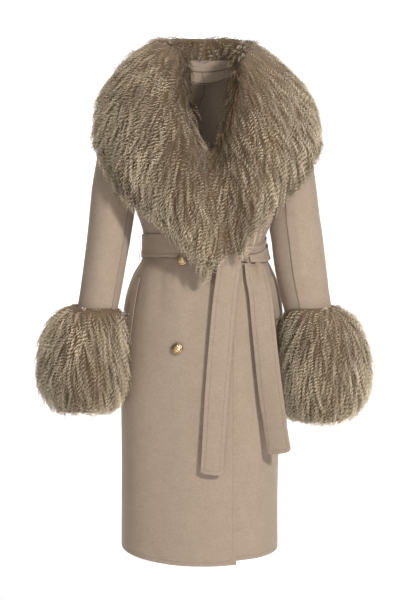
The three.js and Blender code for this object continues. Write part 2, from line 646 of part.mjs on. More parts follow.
// A hanging end. Its foot is cut aslant by slant, and its corners are rounded off.
function tail(table, slant, pinch) {
  const [rows, columns] = [17, 6];
  const [top, foot] = [table[0].z, table[table.length - 1].z];
  return sheet(rows, columns, (i, j, outside) => {
    const share = 1 - (1 - i / (rows - 1)) ** 1.15;
    const across = j / (columns - 1);
    const z = lerp(top, foot, share);
    const at = (name) => read(table, "z", name, z);
    const corner = i === rows - 1 && (j === 0 || j === columns - 1) ? 4 : 0;
    const bow = 2.5 * Math.sin(Math.PI * across) * share;
    const crease = pinch * Math.exp(-(((across - 0.4) / 0.22) ** 2)) * (1 - smooth(top, top - 60, z));
    return new THREE.Vector3(
      lerp(at("leftX"), at("rightX"), across),
      lerp(at("leftY"), at("rightY"), across) - bow + crease + (outside ? -BELT : 0),
      z + corner + slant * (across - 0.5) * share ** 6,
    );
  });
}

add("belt_end_front", tail(FRONT_TAIL, -5, 0), WOOL);
add("belt_end_side", tail(SIDE_TAIL, 11, 4), WOOL);

// ---------------------------------------------------------------- fur collar
const ACROSS = 11; // points over the top of the fur

// The closed section of the collar at place t along its table.
function collarSection(table, side, t) {
  const at = (name) => {
    const rows = table.map((row, i) => ({ i, x: row[name][0], y: row[name][1], z: row[name][2] }));
    const [x, y, z] = ["x", "y", "z"].map((axis) => read(rows, "i", axis, t));
    return new THREE.Vector3(side * x, y, z);
  };
  const over = new THREE.CatmullRomCurve3(
    ["neck", "rise", "top", "fall", "edge"].map(at),
    false,
    "centripetal",
  ).getPoints(ACROSS - 1);
  return [...over, at("core")];
}

// The side of the meeting line on which a lapel may lie, as a slab through the whole coat.
function lapelSide(side) {
  const shape = new THREE.Shape();
  const far = 400;
  LAPEL_MEETING.forEach(({ x, z }, i) => {
    const place = [x + (side * SEAM) / 2, z];
    if (i) shape.lineTo(...place);
    else shape.moveTo(...place);
  });
  shape.lineTo(side * far, LAPEL_MEETING[LAPEL_MEETING.length - 1].z);
  shape.lineTo(side * far, LAPEL_MEETING[0].z);
  const slab = new THREE.ExtrudeGeometry(shape, { depth: 2 * far, bevelEnabled: false });
  slab.translate(0, 0, -far);
  slab.rotateX(Math.PI / 2);
  return solid(slab);
}

// What the fur lies on, filled in and a little larger: body, sleeves, stand, belt and knot.
function standFilled() {
  const size = 28;
  const [from, to] = [STAND.from - 0.06, STAND.to + 0.06];
  const ring = (height) =>
    Array.from({ length: size }, (_, j) => standPoint(lerp(from, to, j / (size - 1)), height, REST + 0.5));
  return solid(filled([ring(-10), ring(STAND.lower + STAND.upper + 1)]));
}

function beltFilled() {
  const size = 60;
  return solid(
    filled(
      [1, 0.33, -0.33, -1].map((height) =>
        Array.from({ length: size }, (_, j) =>
          beltPoint((j * 2 * Math.PI) / size - Math.PI, height * 1.15, 2 * BELT + 2),
        ),
      ),
    ),
  );
}

// The knot and the top of the front end, as one block.
function knotCover() {
  const [left, right, top, foot, front] = [14, 96, -336, -460, -149];
  const block = new THREE.BoxGeometry(right - left, 80, top - foot);
  block.translate((left + right) / 2, front + 40, (top + foot) / 2);
  return solid(block);
}

const underFur = [
  bodyFilled(REST + LAP + 1, 36),
  ...SLEEVES.map((s) => solid(sleeveFilled(s.table, s.side, REST + 1, 24))),
  standFilled(),
  beltFilled(),
  knotCover(),
].reduce((all, next) => all.add(next));

function furCollar(table, side) {
  const refine = 2; // sections for each row of the table, from just past the middle of the back
  const rings = Array.from({ length: (table.length - 1) * refine }, (_, i) =>
    collarSection(table, side, (i + 1) / refine),
  );
  return geometryOf(solid(filled(rings)).subtract(underFur).intersect(lapelSide(side)));
}

add("collar_fur_right", furCollar(RIGHT_COLLAR, -1), FUR);
add("collar_fur_left", furCollar(LEFT_COLLAR, 1), FUR);

// ---------------------------------------------------------------- fur cuffs
for (const s of SLEEVES) {
  const size = 26;
  const rings = s.cuff.map((row) =>
    Array.from({ length: size }, (_, j) => {
      const angle = (j * 2 * Math.PI) / size;
      return new THREE.Vector3(
        s.side * (row.x + row.across * Math.cos(angle)),
        row.y - row.deep * Math.sin(angle),
        row.z,
      );
    }),
  );
  const arm = solid(sleeveFilled(armBeyond(s.table), s.side, 1.5, 20, 1));
  const bodySide = bodyFilled(3.8, 36);
  add(`cuff_fur_${s.name}`, geometryOf(solid(filled(rings)).subtract(arm).subtract(bodySide)), FUR);
}

// ---------------------------------------------------------------- pocket welts, one on each front
const WELT = { top: -440, foot: -588, topX: 145, footX: 169, half: 6, thick: 1.4, rest: 1 };
for (const side of [-1, 1]) {
  const welt = sheet(9, 3, (i, j, outside) => {
    const share = i / 8;
    const level = lerp(WELT.top, WELT.foot, share);
    const x = side * (lerp(WELT.topX, WELT.footX, share ** 0.8) + (j - 1) * WELT.half);
    const out = WELT.rest + (side < 0 ? lapLift(x, level) : 0);
    return bodyPoint(angleAt(x, level), level, out + (outside ? WELT.thick : 0));
  });
  add(side < 0 ? "pocket_welt_right" : "pocket_welt_left", welt, WOOL);
}

// ---------------------------------------------------------------- thread loops that carry the belt
// One by each side seam. above and below count from the middle of the belt.
const LOOP = { above: 34, below: 36.5, stand: 3.5, radius: 0.9, rightAngle: -93, leftAngle: 108 };
for (const side of [-1, 1]) {
  const angle = degToRad(side < 0 ? LOOP.rightAngle : LOOP.leftAngle);
  const path = new THREE.CatmullRomCurve3(
    Array.from({ length: 9 }, (_, i) => {
      const share = i / 8;
      const level = beltZ(angle) + lerp(LOOP.above, -LOOP.below, share);
      const ends = smooth(0, 0.13, Math.min(share, 1 - share));
      const second = side > 0 ? BELT + SEAM + 0.3 : 0;
      const over = BELT + REST + 1.2 + second + LOOP.stand;
      return bodyPoint(angle, level, LOOP.radius - 0.3 + over * ends);
    }),
  );
  const section = new THREE.Shape(
    Array.from({ length: 6 }, (_, j) => {
      const turn = (j * Math.PI) / 3;
      return new THREE.Vector2(LOOP.radius * Math.cos(turn), LOOP.radius * Math.sin(turn));
    }),
  );
  const thread = new THREE.ExtrudeGeometry(section, { steps: 16, extrudePath: path, bevelEnabled: false });
  add(side < 0 ? "belt_loop_right" : "belt_loop_left", thread, THREAD);
}

// ---------------------------------------------------------------- buttons: a domed head on a shank
// The profile turns about the button's own axis, from the foot of the shank out to the top.
function buttonProfile(shank) {
  const rim = shank + 1.6;
  return [
    [0, 0],
    [3, 0],
    [2.4, 1],
    [2.4, shank - 1.5],
    [7, shank - 0.6],
    [BUTTON_RADIUS - 0.7, shank],
    [BUTTON_RADIUS, shank + 0.8],
    [BUTTON_RADIUS - 0.5, rim],
    [BUTTON_RADIUS - 2.2, rim + 0.5],
    [BUTTON_RADIUS - 3, rim],
    [8, rim + 1.4],
    [4.5, rim + 2.6],
    [0, rim + 3.1],
  ].map(([r, h]) => new THREE.Vector2(r, h));
}

for (const button of BUTTONS) {
  const angle = angleAt(button.x, button.level);
  const foot = bodyPoint(angle, button.level, lapLift(button.x, button.level) + REST);
  const outward = bodyPoint(angle, button.level, 10).sub(bodyPoint(angle, button.level, 0)).normalize();
  const mesh = add(button.name, new THREE.LatheGeometry(buttonProfile(button.shank), 18), GILT);
  mesh.position.copy(foot);
  mesh.quaternion.setFromUnitVectors(new THREE.Vector3(0, 1, 0), outward);
}

// ---------------------------------------------------------------- hanging chain inside the back of the neck
const CHAIN = { halfLength: 14, sag: 4, radius: 1.3 };
const chainTop = STAND.lower + STAND.upper - 0.5;
const chainPath = new THREE.CatmullRomCurve3(
  [-1, -0.6, -0.2, 0.2, 0.6, 1].map((place) => {
    const angle = Math.PI - (place * CHAIN.halfLength) / 62;
    const height = chainTop - CHAIN.sag * (1 - place * place);
    return standPoint(angle, height, -CLOTH - CHAIN.radius - 0.7 - 1.2 * (1 - place ** 4));
  }),
);
const chainSection = new THREE.Shape(
  Array.from({ length: 6 }, (_, j) => {
    const turn = (j * Math.PI) / 3;
    return new THREE.Vector2(CHAIN.radius * Math.cos(turn), CHAIN.radius * Math.sin(turn));
  }),
);
add(
  "hanging_chain",
  new THREE.ExtrudeGeometry(chainSection, { steps: 12, extrudePath: chainPath, bevelEnabled: false }),
  GILT,
);

export default coat;
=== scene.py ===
import math

import bmesh
import bpy
import numpy as np
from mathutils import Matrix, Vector, kdtree
from mathutils.bvhtree import BVHTree


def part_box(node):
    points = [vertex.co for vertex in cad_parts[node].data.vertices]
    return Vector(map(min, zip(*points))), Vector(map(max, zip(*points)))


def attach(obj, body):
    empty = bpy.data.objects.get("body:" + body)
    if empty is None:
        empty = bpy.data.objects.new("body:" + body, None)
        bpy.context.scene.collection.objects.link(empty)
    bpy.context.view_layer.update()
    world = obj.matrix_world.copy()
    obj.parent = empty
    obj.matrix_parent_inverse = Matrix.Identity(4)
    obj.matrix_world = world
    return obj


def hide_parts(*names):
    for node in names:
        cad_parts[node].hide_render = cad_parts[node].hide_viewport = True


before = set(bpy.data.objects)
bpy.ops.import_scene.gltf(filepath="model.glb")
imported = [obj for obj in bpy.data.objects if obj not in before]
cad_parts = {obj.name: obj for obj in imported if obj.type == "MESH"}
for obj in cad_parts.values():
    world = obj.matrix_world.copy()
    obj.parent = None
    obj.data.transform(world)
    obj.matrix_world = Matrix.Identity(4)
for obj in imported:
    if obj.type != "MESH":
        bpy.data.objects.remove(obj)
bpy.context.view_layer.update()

# ---------------------------------------------------------------- fronts and back
# Three panels of double-faced wool, brushed on both sides. The panels hang from the shoulders and are
# drawn in by the belt. A hidden line of stitches inside each free edge holds the two layers together.
MM = 0.001
CLOTH = 2.4 * MM
STITCH_LINE = 8.5 * MM  # from the edge to the line of stitches
FAR = 60 * MM  # from any edge, seam or fold: nothing shows


def evaluated(obj):
    """Makes the object's modifiers part of its mesh."""
    bpy.context.view_layer.update()
    graph = bpy.context.evaluated_depsgraph_get()
    mesh = bpy.data.meshes.new_from_object(obj.evaluated_get(graph))
    obj.modifiers.clear()
    obj.data = mesh
    return obj


def mesh_of(bm, name):
    """Turns a bmesh into a mesh, and frees it."""
    mesh = bpy.data.meshes.new(name)
    bm.to_mesh(mesh)
    bm.free()
    return mesh


def placed(name, data):
    """An object of the scene that shows a mesh, a lamp or a camera."""
    obj = bpy.data.objects.new(name, data)
    bpy.context.scene.collection.objects.link(obj)
    return obj


def outer_face(name, behind):
    """The outer face of a cloth solid's wall, as an open sheet. behind(p) is a place on its inner side."""
    bm = bmesh.new()
    bm.from_mesh(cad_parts[name].data)
    bmesh.ops.remove_doubles(bm, verts=bm.verts, dist=0.01 * MM)
    bm.normal_update()
    wall = BVHTree.FromBMesh(bm)
    others = []
    for face in bm.faces:
        centre = face.calc_center_median()
        depth = wall.ray_cast(centre - face.normal * 0.05 * MM, -face.normal, 5 * MM)[3]
        if depth is None or face.normal.dot(centre - Vector(behind(centre))) < 0:
            others.append(face)
    bmesh.ops.delete(bm, geom=others, context="FACES")
    bmesh.ops.join_triangles(bm, faces=bm.faces, angle_face_threshold=0.7, angle_shape_threshold=1.6)
    return placed(name + "_cloth", mesh_of(bm, name))


def points_of(mesh):
    """The places of a mesh's vertices, a row for each."""
    co = np.zeros(len(mesh.vertices) * 3)
    mesh.vertices.foreach_get("co", co)
    return co.reshape(-1, 3)


def normals_of(mesh):
    """The way that each of a mesh's vertices faces."""
    normals = np.zeros(len(mesh.vertices) * 3)
    mesh.vertex_normals.foreach_get("vector", normals)
    return normals.reshape(-1, 3)


def store(mesh, values):
    """Keeps a number or a vector for each vertex, under the name that a material or a tree reads."""
    for name, value in values.items():
        value = np.asarray(value, float)
        if value.ndim == 2:
            mesh.attributes.new(name, "FLOAT_VECTOR", "POINT").data.foreach_set("vector", value.ravel())
        else:
            value = np.broadcast_to(value, len(mesh.vertices)).copy()
            mesh.attributes.new(name, "FLOAT", "POINT").data.foreach_set("value", value)


def edge_distance(mesh, free):
    """How far each vertex is from the sheet's free edges. free(p) says whether an edge point is on one."""
    uses = {}
    for polygon in mesh.polygons:
        for key in polygon.edge_keys:
            uses[key] = uses.get(key, 0) + 1
    co = points_of(mesh)
    samples = []
    for (a, b), count in uses.items():
        if count == 1 and free((co[a] + co[b]) / 2):
            steps = max(2, int(np.linalg.norm(co[a] - co[b]) / MM))
            samples.extend(co[a] + (co[b] - co[a]) * k / steps for k in range(steps + 1))
    far = np.full(len(co), FAR)
    if samples:
        tree = kdtree.KDTree(len(samples))
        for i, p in enumerate(samples):
            tree.insert(p, i)
        tree.balance()
        far = np.array([min(tree.find(p)[2], FAR) for p in co])
    return far


def from_line(co, x0, z0, x1, z1):
    """For each point, seen from the front: its distance from a line in millimetres, with a sign for the side
    that it lies on, and how far along the line it is, from 0 to 1."""
    run = np.array([x1 - x0, z1 - z0])
    flat = co[:, (0, 2)] / MM - (x0, z0)
    share = (flat @ run / (run @ run)).clip(0, 1)
    gap = np.linalg.norm(flat - share[:, None] * run, axis=1)
    return gap * np.where(flat[:, 0] * run[1] > flat[:, 1] * run[0], 1, -1), share


def creased(co, lines):
    """How far soft ridges, and troughs where high is below zero, move the cloth. Each is a line on the
    cloth seen from the front: x and z of both ends, how wide and how high, in millimetres."""
    moved = np.zeros(len(co))
    for *line, wide, high in lines:
        gap, share = from_line(co, *line)
        moved += high * MM * (0.55 + 0.45 * np.cos(math.pi * (share - 0.35))) * np.exp(-((gap / wide) ** 2))
    return moved


def folded(co, lines):
    """How far each point is from the nearest sharp fold, with a sign, in metres, for the painted shade along
    it. Each fold is a line on the
    cloth seen from the front: x and z of both ends, in millimetres."""
    nearest = np.full(len(co), FAR / MM)
    for line in lines:
        gap, share = from_line(co, *line)
        nearest = np.where((abs(gap) < abs(nearest)) & (share > 0) & (share < 1), gap, nearest)
    return nearest * MM


def finished(obj, slot, material, *nodes):
    """Gives a piece its material, and its place in the object, where it stands for CAD nodes."""
    obj.data.materials.clear()
    obj.data.materials.append(material)
    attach(obj, "root")
    if nodes:
        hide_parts(*nodes)
    return obj


def cloth(name, behind, levels=2, thick=CLOTH, creases=(), folds=(), free=lambda p: False,
          seam=lambda p: False):
    """A fine sheet on a cloth solid's outer face, with its creases, made as thick as the cloth is. free(p)
    and seam(p) say whether an edge point is on a free edge or on a seam that shows. Its material paints shade
    along the folds, the seams and the line of stitches."""
    obj = outer_face(name, behind)
    finer = obj.modifiers.new("Subdivision", "SUBSURF")
    finer.levels = finer.render_levels = levels
    finer.boundary_smooth = "PRESERVE_CORNERS"
    evaluated(obj)
    mesh = obj.data
    co = points_of(mesh)
    store(mesh, {"edge": edge_distance(mesh, free), "seam": edge_distance(mesh, seam)})
    store(mesh, {"fold": folded(co, folds)})
    co += normals_of(mesh) * creased(co, creases)[:, None]
    mesh.vertices.foreach_set("co", co.ravel())
    wall = obj.modifiers.new("Solidify", "SOLIDIFY")
    wall.thickness = thick
    wall.offset = -1
    evaluated(obj)
    obj.data.shade_smooth()
    obj.data.set_sharp_from_angle(angle=0.8)
    finished(obj, "wool", wool, name)


def linear(code):
    """A #rrggbb colour as the linear colour that a shader takes."""
    parts = [int(code[i : i + 2], 16) / 255 for i in (1, 3, 5)]
    return [p / 12.92 if p <= 0.04045 else ((p + 0.055) / 1.055) ** 2.4 for p in parts] + [1]


def node(tree, kind, *values, out=0, named=None, **settings):
    """Adds a node, sets it, fills or links its inputs in order and by name, and gives one output."""
    made = tree.nodes.new(kind)
    for key, value in settings.items():
        setattr(made, key, value)
    filled = dict(enumerate(values))
    filled.update(named or {})
    for key, value in filled.items():
        if value is None:
            continue
        socket = made.inputs[key] if isinstance(key, int) else next(
            s for s in made.inputs if key in (s.identifier, s.name))
        if isinstance(value, bpy.types.NodeSocket):
            tree.links.new(value, socket)
        else:
            socket.default_value = value
    return made.outputs[out]


def material_of(name, **inputs):
    """A new material, its tree and its shader, with some of the shader's inputs set."""
    made = bpy.data.materials.new(name)
    made.use_nodes = True
    shader = made.node_tree.nodes["Principled BSDF"]
    for key, value in inputs.items():
        shader.inputs[key.replace("_", " ")].default_value = value
    return made, made.node_tree, shader


# How many fibres, tufts and soft clouds of the nap there are to a metre. A fibre is drawn 1.6 mm wide and
# 5.9 mm long, because a real one is too fine to show.
FIBRES, TUFTS, CLOUDS = (620, 620, 170), (190, 190, 420), 38


def wool_material(name, light, dark):
    """Brushed wool: short fibres that lie down the cloth, a soft bloom at grazing angles, and no gloss. Its
    colour is darkened with painted shade in the line of stitches, along seams and in folds, where less light
    gets in."""
    made, tree, shader = material_of(name, Roughness=0.9, Specular_IOR_Level=0.2, Sheen_Weight=0.35,
                                     Sheen_Roughness=0.5, Sheen_Tint=linear("#e8d9c6"))
    place = node(tree, "ShaderNodeTexCoord", out=3)
    fibres = node(tree, "ShaderNodeMapping", place, named={"Scale": FIBRES})
    nap = node(tree, "ShaderNodeTexNoise", fibres, named={"Scale": 1, "Detail": 4, "Roughness": 0.7})
    clouds = node(tree, "ShaderNodeTexNoise", place, named={"Scale": CLOUDS, "Detail": 3, "Roughness": 0.6})
    tufts = node(tree, "ShaderNodeMapping", place, named={"Scale": TUFTS})
    tufts = node(tree, "ShaderNodeTexNoise", tufts, named={"Scale": 1, "Detail": 2, "Roughness": 0.5})
    mottle = node(tree, "ShaderNodeMath", clouds, 0.35, operation="MULTIPLY")
    mottle = node(tree, "ShaderNodeMath", tufts, 0.75, mottle, operation="MULTIPLY_ADD")
    tone = node(tree, "ShaderNodeMath", nap, 0.5, mottle, operation="MULTIPLY_ADD")
    tone = node(tree, "ShaderNodeMath", tone, 0.3, operation="SUBTRACT", use_clamp=True)
    colour = node(tree, "ShaderNodeMix", tone, out=2, data_type="RGBA", named={
        "A_Color": linear(dark), "B_Color": linear(light)})
    edge = node(tree, "ShaderNodeAttribute", out=2, attribute_name="edge")
    beside = node(tree, "ShaderNodeMath", edge, STITCH_LINE, operation="SUBTRACT")
    beside = node(tree, "ShaderNodeMath", beside, operation="ABSOLUTE")
    groove = node(tree, "ShaderNodeMapRange", beside, interpolation_type="SMOOTHSTEP", named={
        "From Min": 0.2 * MM, "From Max": 1.8 * MM, "To Min": 0, "To Max": 1})
    # Painted shade: the colour is darkened in the groove of the stitch line, and below also along seams and
    # in folds.
    painted_shade = node(tree, "ShaderNodeMapRange", groove, named={"To Min": 0.9, "To Max": 1})
    for line, dim, narrow, wide in (("seam", 0.55, 0.3 * MM, 2.4 * MM), ("fold", 0.5, 0.2 * MM, 2.0 * MM)):
        beside = node(tree, "ShaderNodeAttribute", out=2, attribute_name=line)
        beside = node(tree, "ShaderNodeMath", beside, operation="ABSOLUTE")
        dimmed = node(tree, "ShaderNodeMapRange", beside, interpolation_type="SMOOTHSTEP", named={
            "From Min": narrow, "From Max": wide, "To Min": dim, "To Max": 1})
        painted_shade = node(tree, "ShaderNodeMath", painted_shade, dimmed, operation="MULTIPLY")
    colour = node(tree, "ShaderNodeVectorMath", colour, named={"Scale": painted_shade}, operation="SCALE")
    tree.links.new(colour, shader.inputs["Base Color"])
    height = node(tree, "ShaderNodeMath", groove, 1.6, nap, operation="MULTIPLY_ADD")
    bump = node(tree, "ShaderNodeBump", named={"Height": height, "Distance": 0.35 * MM, "Strength": 0.8})
    tree.links.new(bump, shader.inputs["Normal"])
    return made


# The greyish beige of camel and stone wool.
wool = wool_material("brushed_wool", "#b09e8c", "#8b7867")


def behind_body(p):
    """A place inside the body, behind the cloth at p, and lower than it near the shoulders."""
    x, y, z = p
    return (0.7 * x, 0.3 * y, z - max(0, (z + 0.15) / 2))


def hem_or_front(p):
    """On the hem, or on a front edge below the waist."""
    x, y, z = p
    return z < -1.035 or (z < -0.36 and y < -0.09 and -0.07 < x < 0.09)


def side_seam(p):
    x, y, z = p
    return abs(x) > 0.11 and -1.03 < z < -0.1


# The fold line on the right front is painted shade just under the belt's lower edge.
cloth("front_right", behind_body, free=hem_or_front, seam=side_seam,
      folds=((-143, -393.4, -48, -395),), creases=(
    (-150, -420, -168, -640, 16, -2.6), (-118, -418, -128, -560, 11, 1.8), (-92, -418, -97, -520, 8, -1.4),
    (-60, -416, -63, -490, 7, 1.2), (-22, -440, -30, -640, 20, -1.8), (-140, -700, -146, -1050, 30, 2.2),
    (-75, -640, -84, -1060, 34, -2.4), (5, -620, 12, -1060, 26, 2.0), (50, -760, 58, -1060, 18, -1.8),
    (-144, -394, -48, -396, 7, -2.6)))
cloth("front_left", behind_body, free=hem_or_front, seam=side_seam, creases=(
    (138, -425, 150, -600, 12, -2.2), (95, -520, 104, -760, 16, 1.6), (84, -620, 88, -1060, 14, -3.0),
    (118, -640, 124, -1050, 20, 1.8), (150, -560, 156, -1000, 20, -2.4)))
# The back's fold lines are a curved line of painted shade along a seam seen inside the back of the neck.
cloth("back", behind_body, free=hem_or_front, seam=side_seam,
      folds=((1, -8, 0, -37), (0, -37, -6, -48), (-6, -48, -16, -56)), creases=(
    (-120, -425, -136, -700, 18, -2.8), (-70, -420, -80, -600, 12, 2.2), (-30, -420, -34, -820, 24, -2.6),
    (18, -420, 24, -640, 12, 2.0), (62, -420, 74, -760, 18, -2.8), (110, -425, 126, -640, 14, 2.4),
    (-100, -700, -110, -1060, 34, 2.6), (40, -700, 46, -1060, 36, 2.8), (120, -700, 130, -1050, 26, -2.4)))

# ---------------------------------------------------------------- sleeves
# Each sleeve is a top and an under piece of the same wool, set into the armhole and sewn together down
# the front and the back of the arm. They bend a little at the elbow and end inside the fur cuffs.


def arm_axis(side):
    """The middle of a sleeve at any height, from the boxes of thin slices through its two pieces."""
    halves = (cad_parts[f"sleeve_{side}_{half}"].data for half in ("top", "under"))
    co = np.concatenate([points_of(half) for half in halves])
    levels = np.linspace(-0.62, -0.16, 10)
    middles = []
    for level in levels:
        near = co[abs(co[:, 2] - level) < 0.05]
        middles.append((near.min(0) + near.max(0)) / 2)
    middles = np.array(middles)
    return lambda z: np.array([np.interp(z, levels, middles[:, 0]), np.interp(z, levels, middles[:, 1]), z])


def sleeve_seam(p):
    return -0.6 < p[2] < -0.17


SLEEVE_CREASES = {
    "right": (
        (-204, -330, -168, -352, 9, -1.8), (-206, -372, -172, -380, 8, -1.5),
        (-215, -350, -240, -342, 12, 1.2), (-214, -420, -180, -412, 10, -1.3),
        (-236, -300, -246, -440, 14, 1.2), (-205, -460, -262, -474, 12, -1.4)),
    "left": (
        (196, -318, 232, -340, 9, -2.0), (198, -362, 240, -374, 9, -1.6), (204, -300, 214, -440, 8, 1.4),
        (214, -424, 246, -410, 10, -1.4), (250, -330, 262, -470, 14, 1.0), (220, -478, 276, -466, 12, -1.5)),
}
for side in ("right", "left"):
    axis = arm_axis(side)
    for half, flat, area in (("top", (0.19, 0.6), 0.098), ("under", (0.13, 0.55), 0.062)):
        cloth(f"sleeve_{side}_{half}", lambda p: axis(min(p[2], -0.13)),
              seam=sleeve_seam, creases=SLEEVE_CREASES[side])

# ---------------------------------------------------------------- collar stand
# Two narrow bands of wool stand round the inside of the back of the neck. The fur is sewn to their top
# edge, so only their inner faces show.


def behind_neck(p):
    return (0, 0.02, p[2])


def any_edge(p):
    return True


# The stand's fold line and its seams are drawn with painted shade.
cloth("collar_stand", behind_neck, seam=any_edge,
      folds=((-6, 14, 0, -14),))
cloth("collar_stand_upper", behind_neck, seam=any_edge)

# ---------------------------------------------------------------- belt
# The belt is two layers of wool sewn along both edges. It goes once round the waist, turns over itself
# in a flat knot on the wearer's left, and hangs down in two ends.
BELT = 3.4 * MM


def front_of(p):
    return (p[0], p[1] + 0.05, p[2])


# Where the belt goes in under its own turn: its material paints a line of shade there.
UNDER_TURN = ((94, -387.4, 112, -386.6), (112, -386.6, 122, -385.2), (122, -385.2, 132.5, -381),
              (132.5, -381, 144, -371.5))
cloth("belt", behind_body, thick=BELT, free=any_edge,
      folds=UNDER_TURN, creases=(
    (-143, -388, -40, -390, 4, 1.2), (-140, -362, -90, -356, 6, -1.0), (-130, -380, -60, -386, 8, -0.8),
    (96, -378, 138, -365, 4.5, 2.0)))
cloth("belt_turn", behind_body, thick=BELT, free=any_edge,
      creases=((106, -398, 136, -394, 6, 0.8),))
cloth("belt_knot", front_of, thick=BELT, free=any_edge)
cloth("belt_end_front", front_of, thick=BELT, free=any_edge, creases=(
    (76, -410, 66, -520, 7, -1.6), (88, -408, 84, -500, 6, 1.4), (48, -600, 40, -760, 14, 1.0)))
cloth("belt_end_side", front_of, thick=BELT, free=any_edge, creases=(
    (97, -396, 101, -436, 4, 2.2), (104, -394, 113, -432, 4.5, -4.4), (114, -398, 124, -446, 6, 2.0),
    (128, -398, 133, -470, 5, -1.4), (118, -560, 130, -720, 14, 1.2)))

# ---------------------------------------------------------------- pocket welts
# A narrow slanted welt edges each side pocket. It is a folded strip of the same wool, pressed thinner than
# the panels and sewn down on them.
for side in ("right", "left"):
    cloth(f"pocket_welt_{side}", behind_body, thick=1.4 * MM)

# ---------------------------------------------------------------- thread loops
# A loop of buttonhole thread by each side seam carries the belt. Two plies of matt woollen thread are
# twisted together, a little paler than the cloth.
thread = wool_material("twisted_thread", "#c9bba9", "#93836f")
PLY = 0.5 * MM  # radius
PLIES_APART = 0.42 * MM  # from the thread's middle
TWIST = 46  # radians from end to end


def middle_line(name, axis, count):
    """The middle of a long thin solid, from the means of its slices along one axis."""
    co = points_of(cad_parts[name].data)
    levels = np.linspace(co[:, axis].min(), co[:, axis].max(), count)
    reach = (levels[1] - levels[0]) * 0.75
    return np.array([co[abs(co[:, axis] - level) < reach].mean(0) for level in levels])


for side in ("right", "left"):
    path = middle_line(f"belt_loop_{side}", 2, 12)
    bm = bmesh.new()
    for ply in (0, math.pi):
        rings = []
        for share in np.linspace(0, 1, 90):
            place = np.array([np.interp(share, np.linspace(0, 1, len(path)), path[:, i]) for i in range(3)])
            turn = ply + share * TWIST
            place += np.array([math.cos(turn), math.sin(turn), 0]) * PLIES_APART
            rings.append([bm.verts.new(place + np.array([math.cos(a), math.sin(a), 0]) * PLY)
                          for a in np.linspace(0, 2 * math.pi, 7)[:-1]])
        for lower, upper in zip(rings, rings[1:]):
            for i in range(6):
                bm.faces.new((lower[i - 1], lower[i], upper[i], upper[i - 1]))
        bm.faces.new(rings[0][::-1])
        bm.faces.new(rings[-1])
    mesh = mesh_of(bm, "thread_loop")
    mesh.shade_smooth()
    store(mesh, dict.fromkeys(("edge", "seam", "fold"), FAR))
    finished(placed(f"belt_loop_{side}_thread", mesh), "thread", thread, f"belt_loop_{side}")

# ---------------------------------------------------------------- buttons
# Domed brass buttons with a pale gilt finish: a beaded rim round a dome with a flower in low relief, struck
# from sheet and closed over a shank. The upper one holds the fronts beside the belt.
BUTTON_RADIUS = 12.5 * MM
PETALS, BEADS = 8, 26


def metal(name, colour, dull, rough):
    """Polished plate over struck metal: bright on what stands out, and dulled where polish doesn't reach."""
    made, tree, shader = material_of(name, Metallic=1)
    hollow = node(tree, "ShaderNodeAttribute", out=2, attribute_name="hollow")
    place = node(tree, "ShaderNodeTexCoord", out=3)
    wear = node(tree, "ShaderNodeTexNoise", place, named={"Scale": 260, "Detail": 3})  # patches of 4 mm
    hollow = node(tree, "ShaderNodeMath", wear, 0.3, hollow, operation="MULTIPLY_ADD", use_clamp=True)
    shade = node(tree, "ShaderNodeMix", hollow, out=2, data_type="RGBA", named={
        "A_Color": linear(colour), "B_Color": linear(dull)})
    tree.links.new(shade, shader.inputs["Base Color"])
    rough = node(tree, "ShaderNodeMath", wear, 0.2, rough - 0.1, operation="MULTIPLY_ADD")
    tree.links.new(rough, shader.inputs["Roughness"])
    return made


# Thin gilt over brass: pale yellow and bright, with brown hollows.
gilt = metal("pale_gilt_brass", "#efd2a6", "#8a6a45", 0.3)


def relief(r, a):
    """How high the button's face is at radius r and angle a, and how deep in a hollow. r is 1 at the rim."""
    dome = 4.6 * (1 - r * r)
    petal = abs(math.cos(PETALS / 2 * a)) ** 0.6 * math.exp(-(((r - 0.42) / 0.24) ** 2))
    eye = math.exp(-((r / 0.13) ** 2))
    groove = math.exp(-(((r - 0.74) / 0.05) ** 2))
    bead = math.exp(-(((r - 0.87) / 0.07) ** 2)) * (0.55 + 0.45 * math.cos(BEADS * a))
    height = dome + 0.75 * petal + 0.6 * eye - 0.55 * groove + 0.8 * bead
    return height * MM, max(0, min(1, 0.55 - 0.75 * petal - 0.8 * eye + 0.5 * groove - 0.5 * bead))


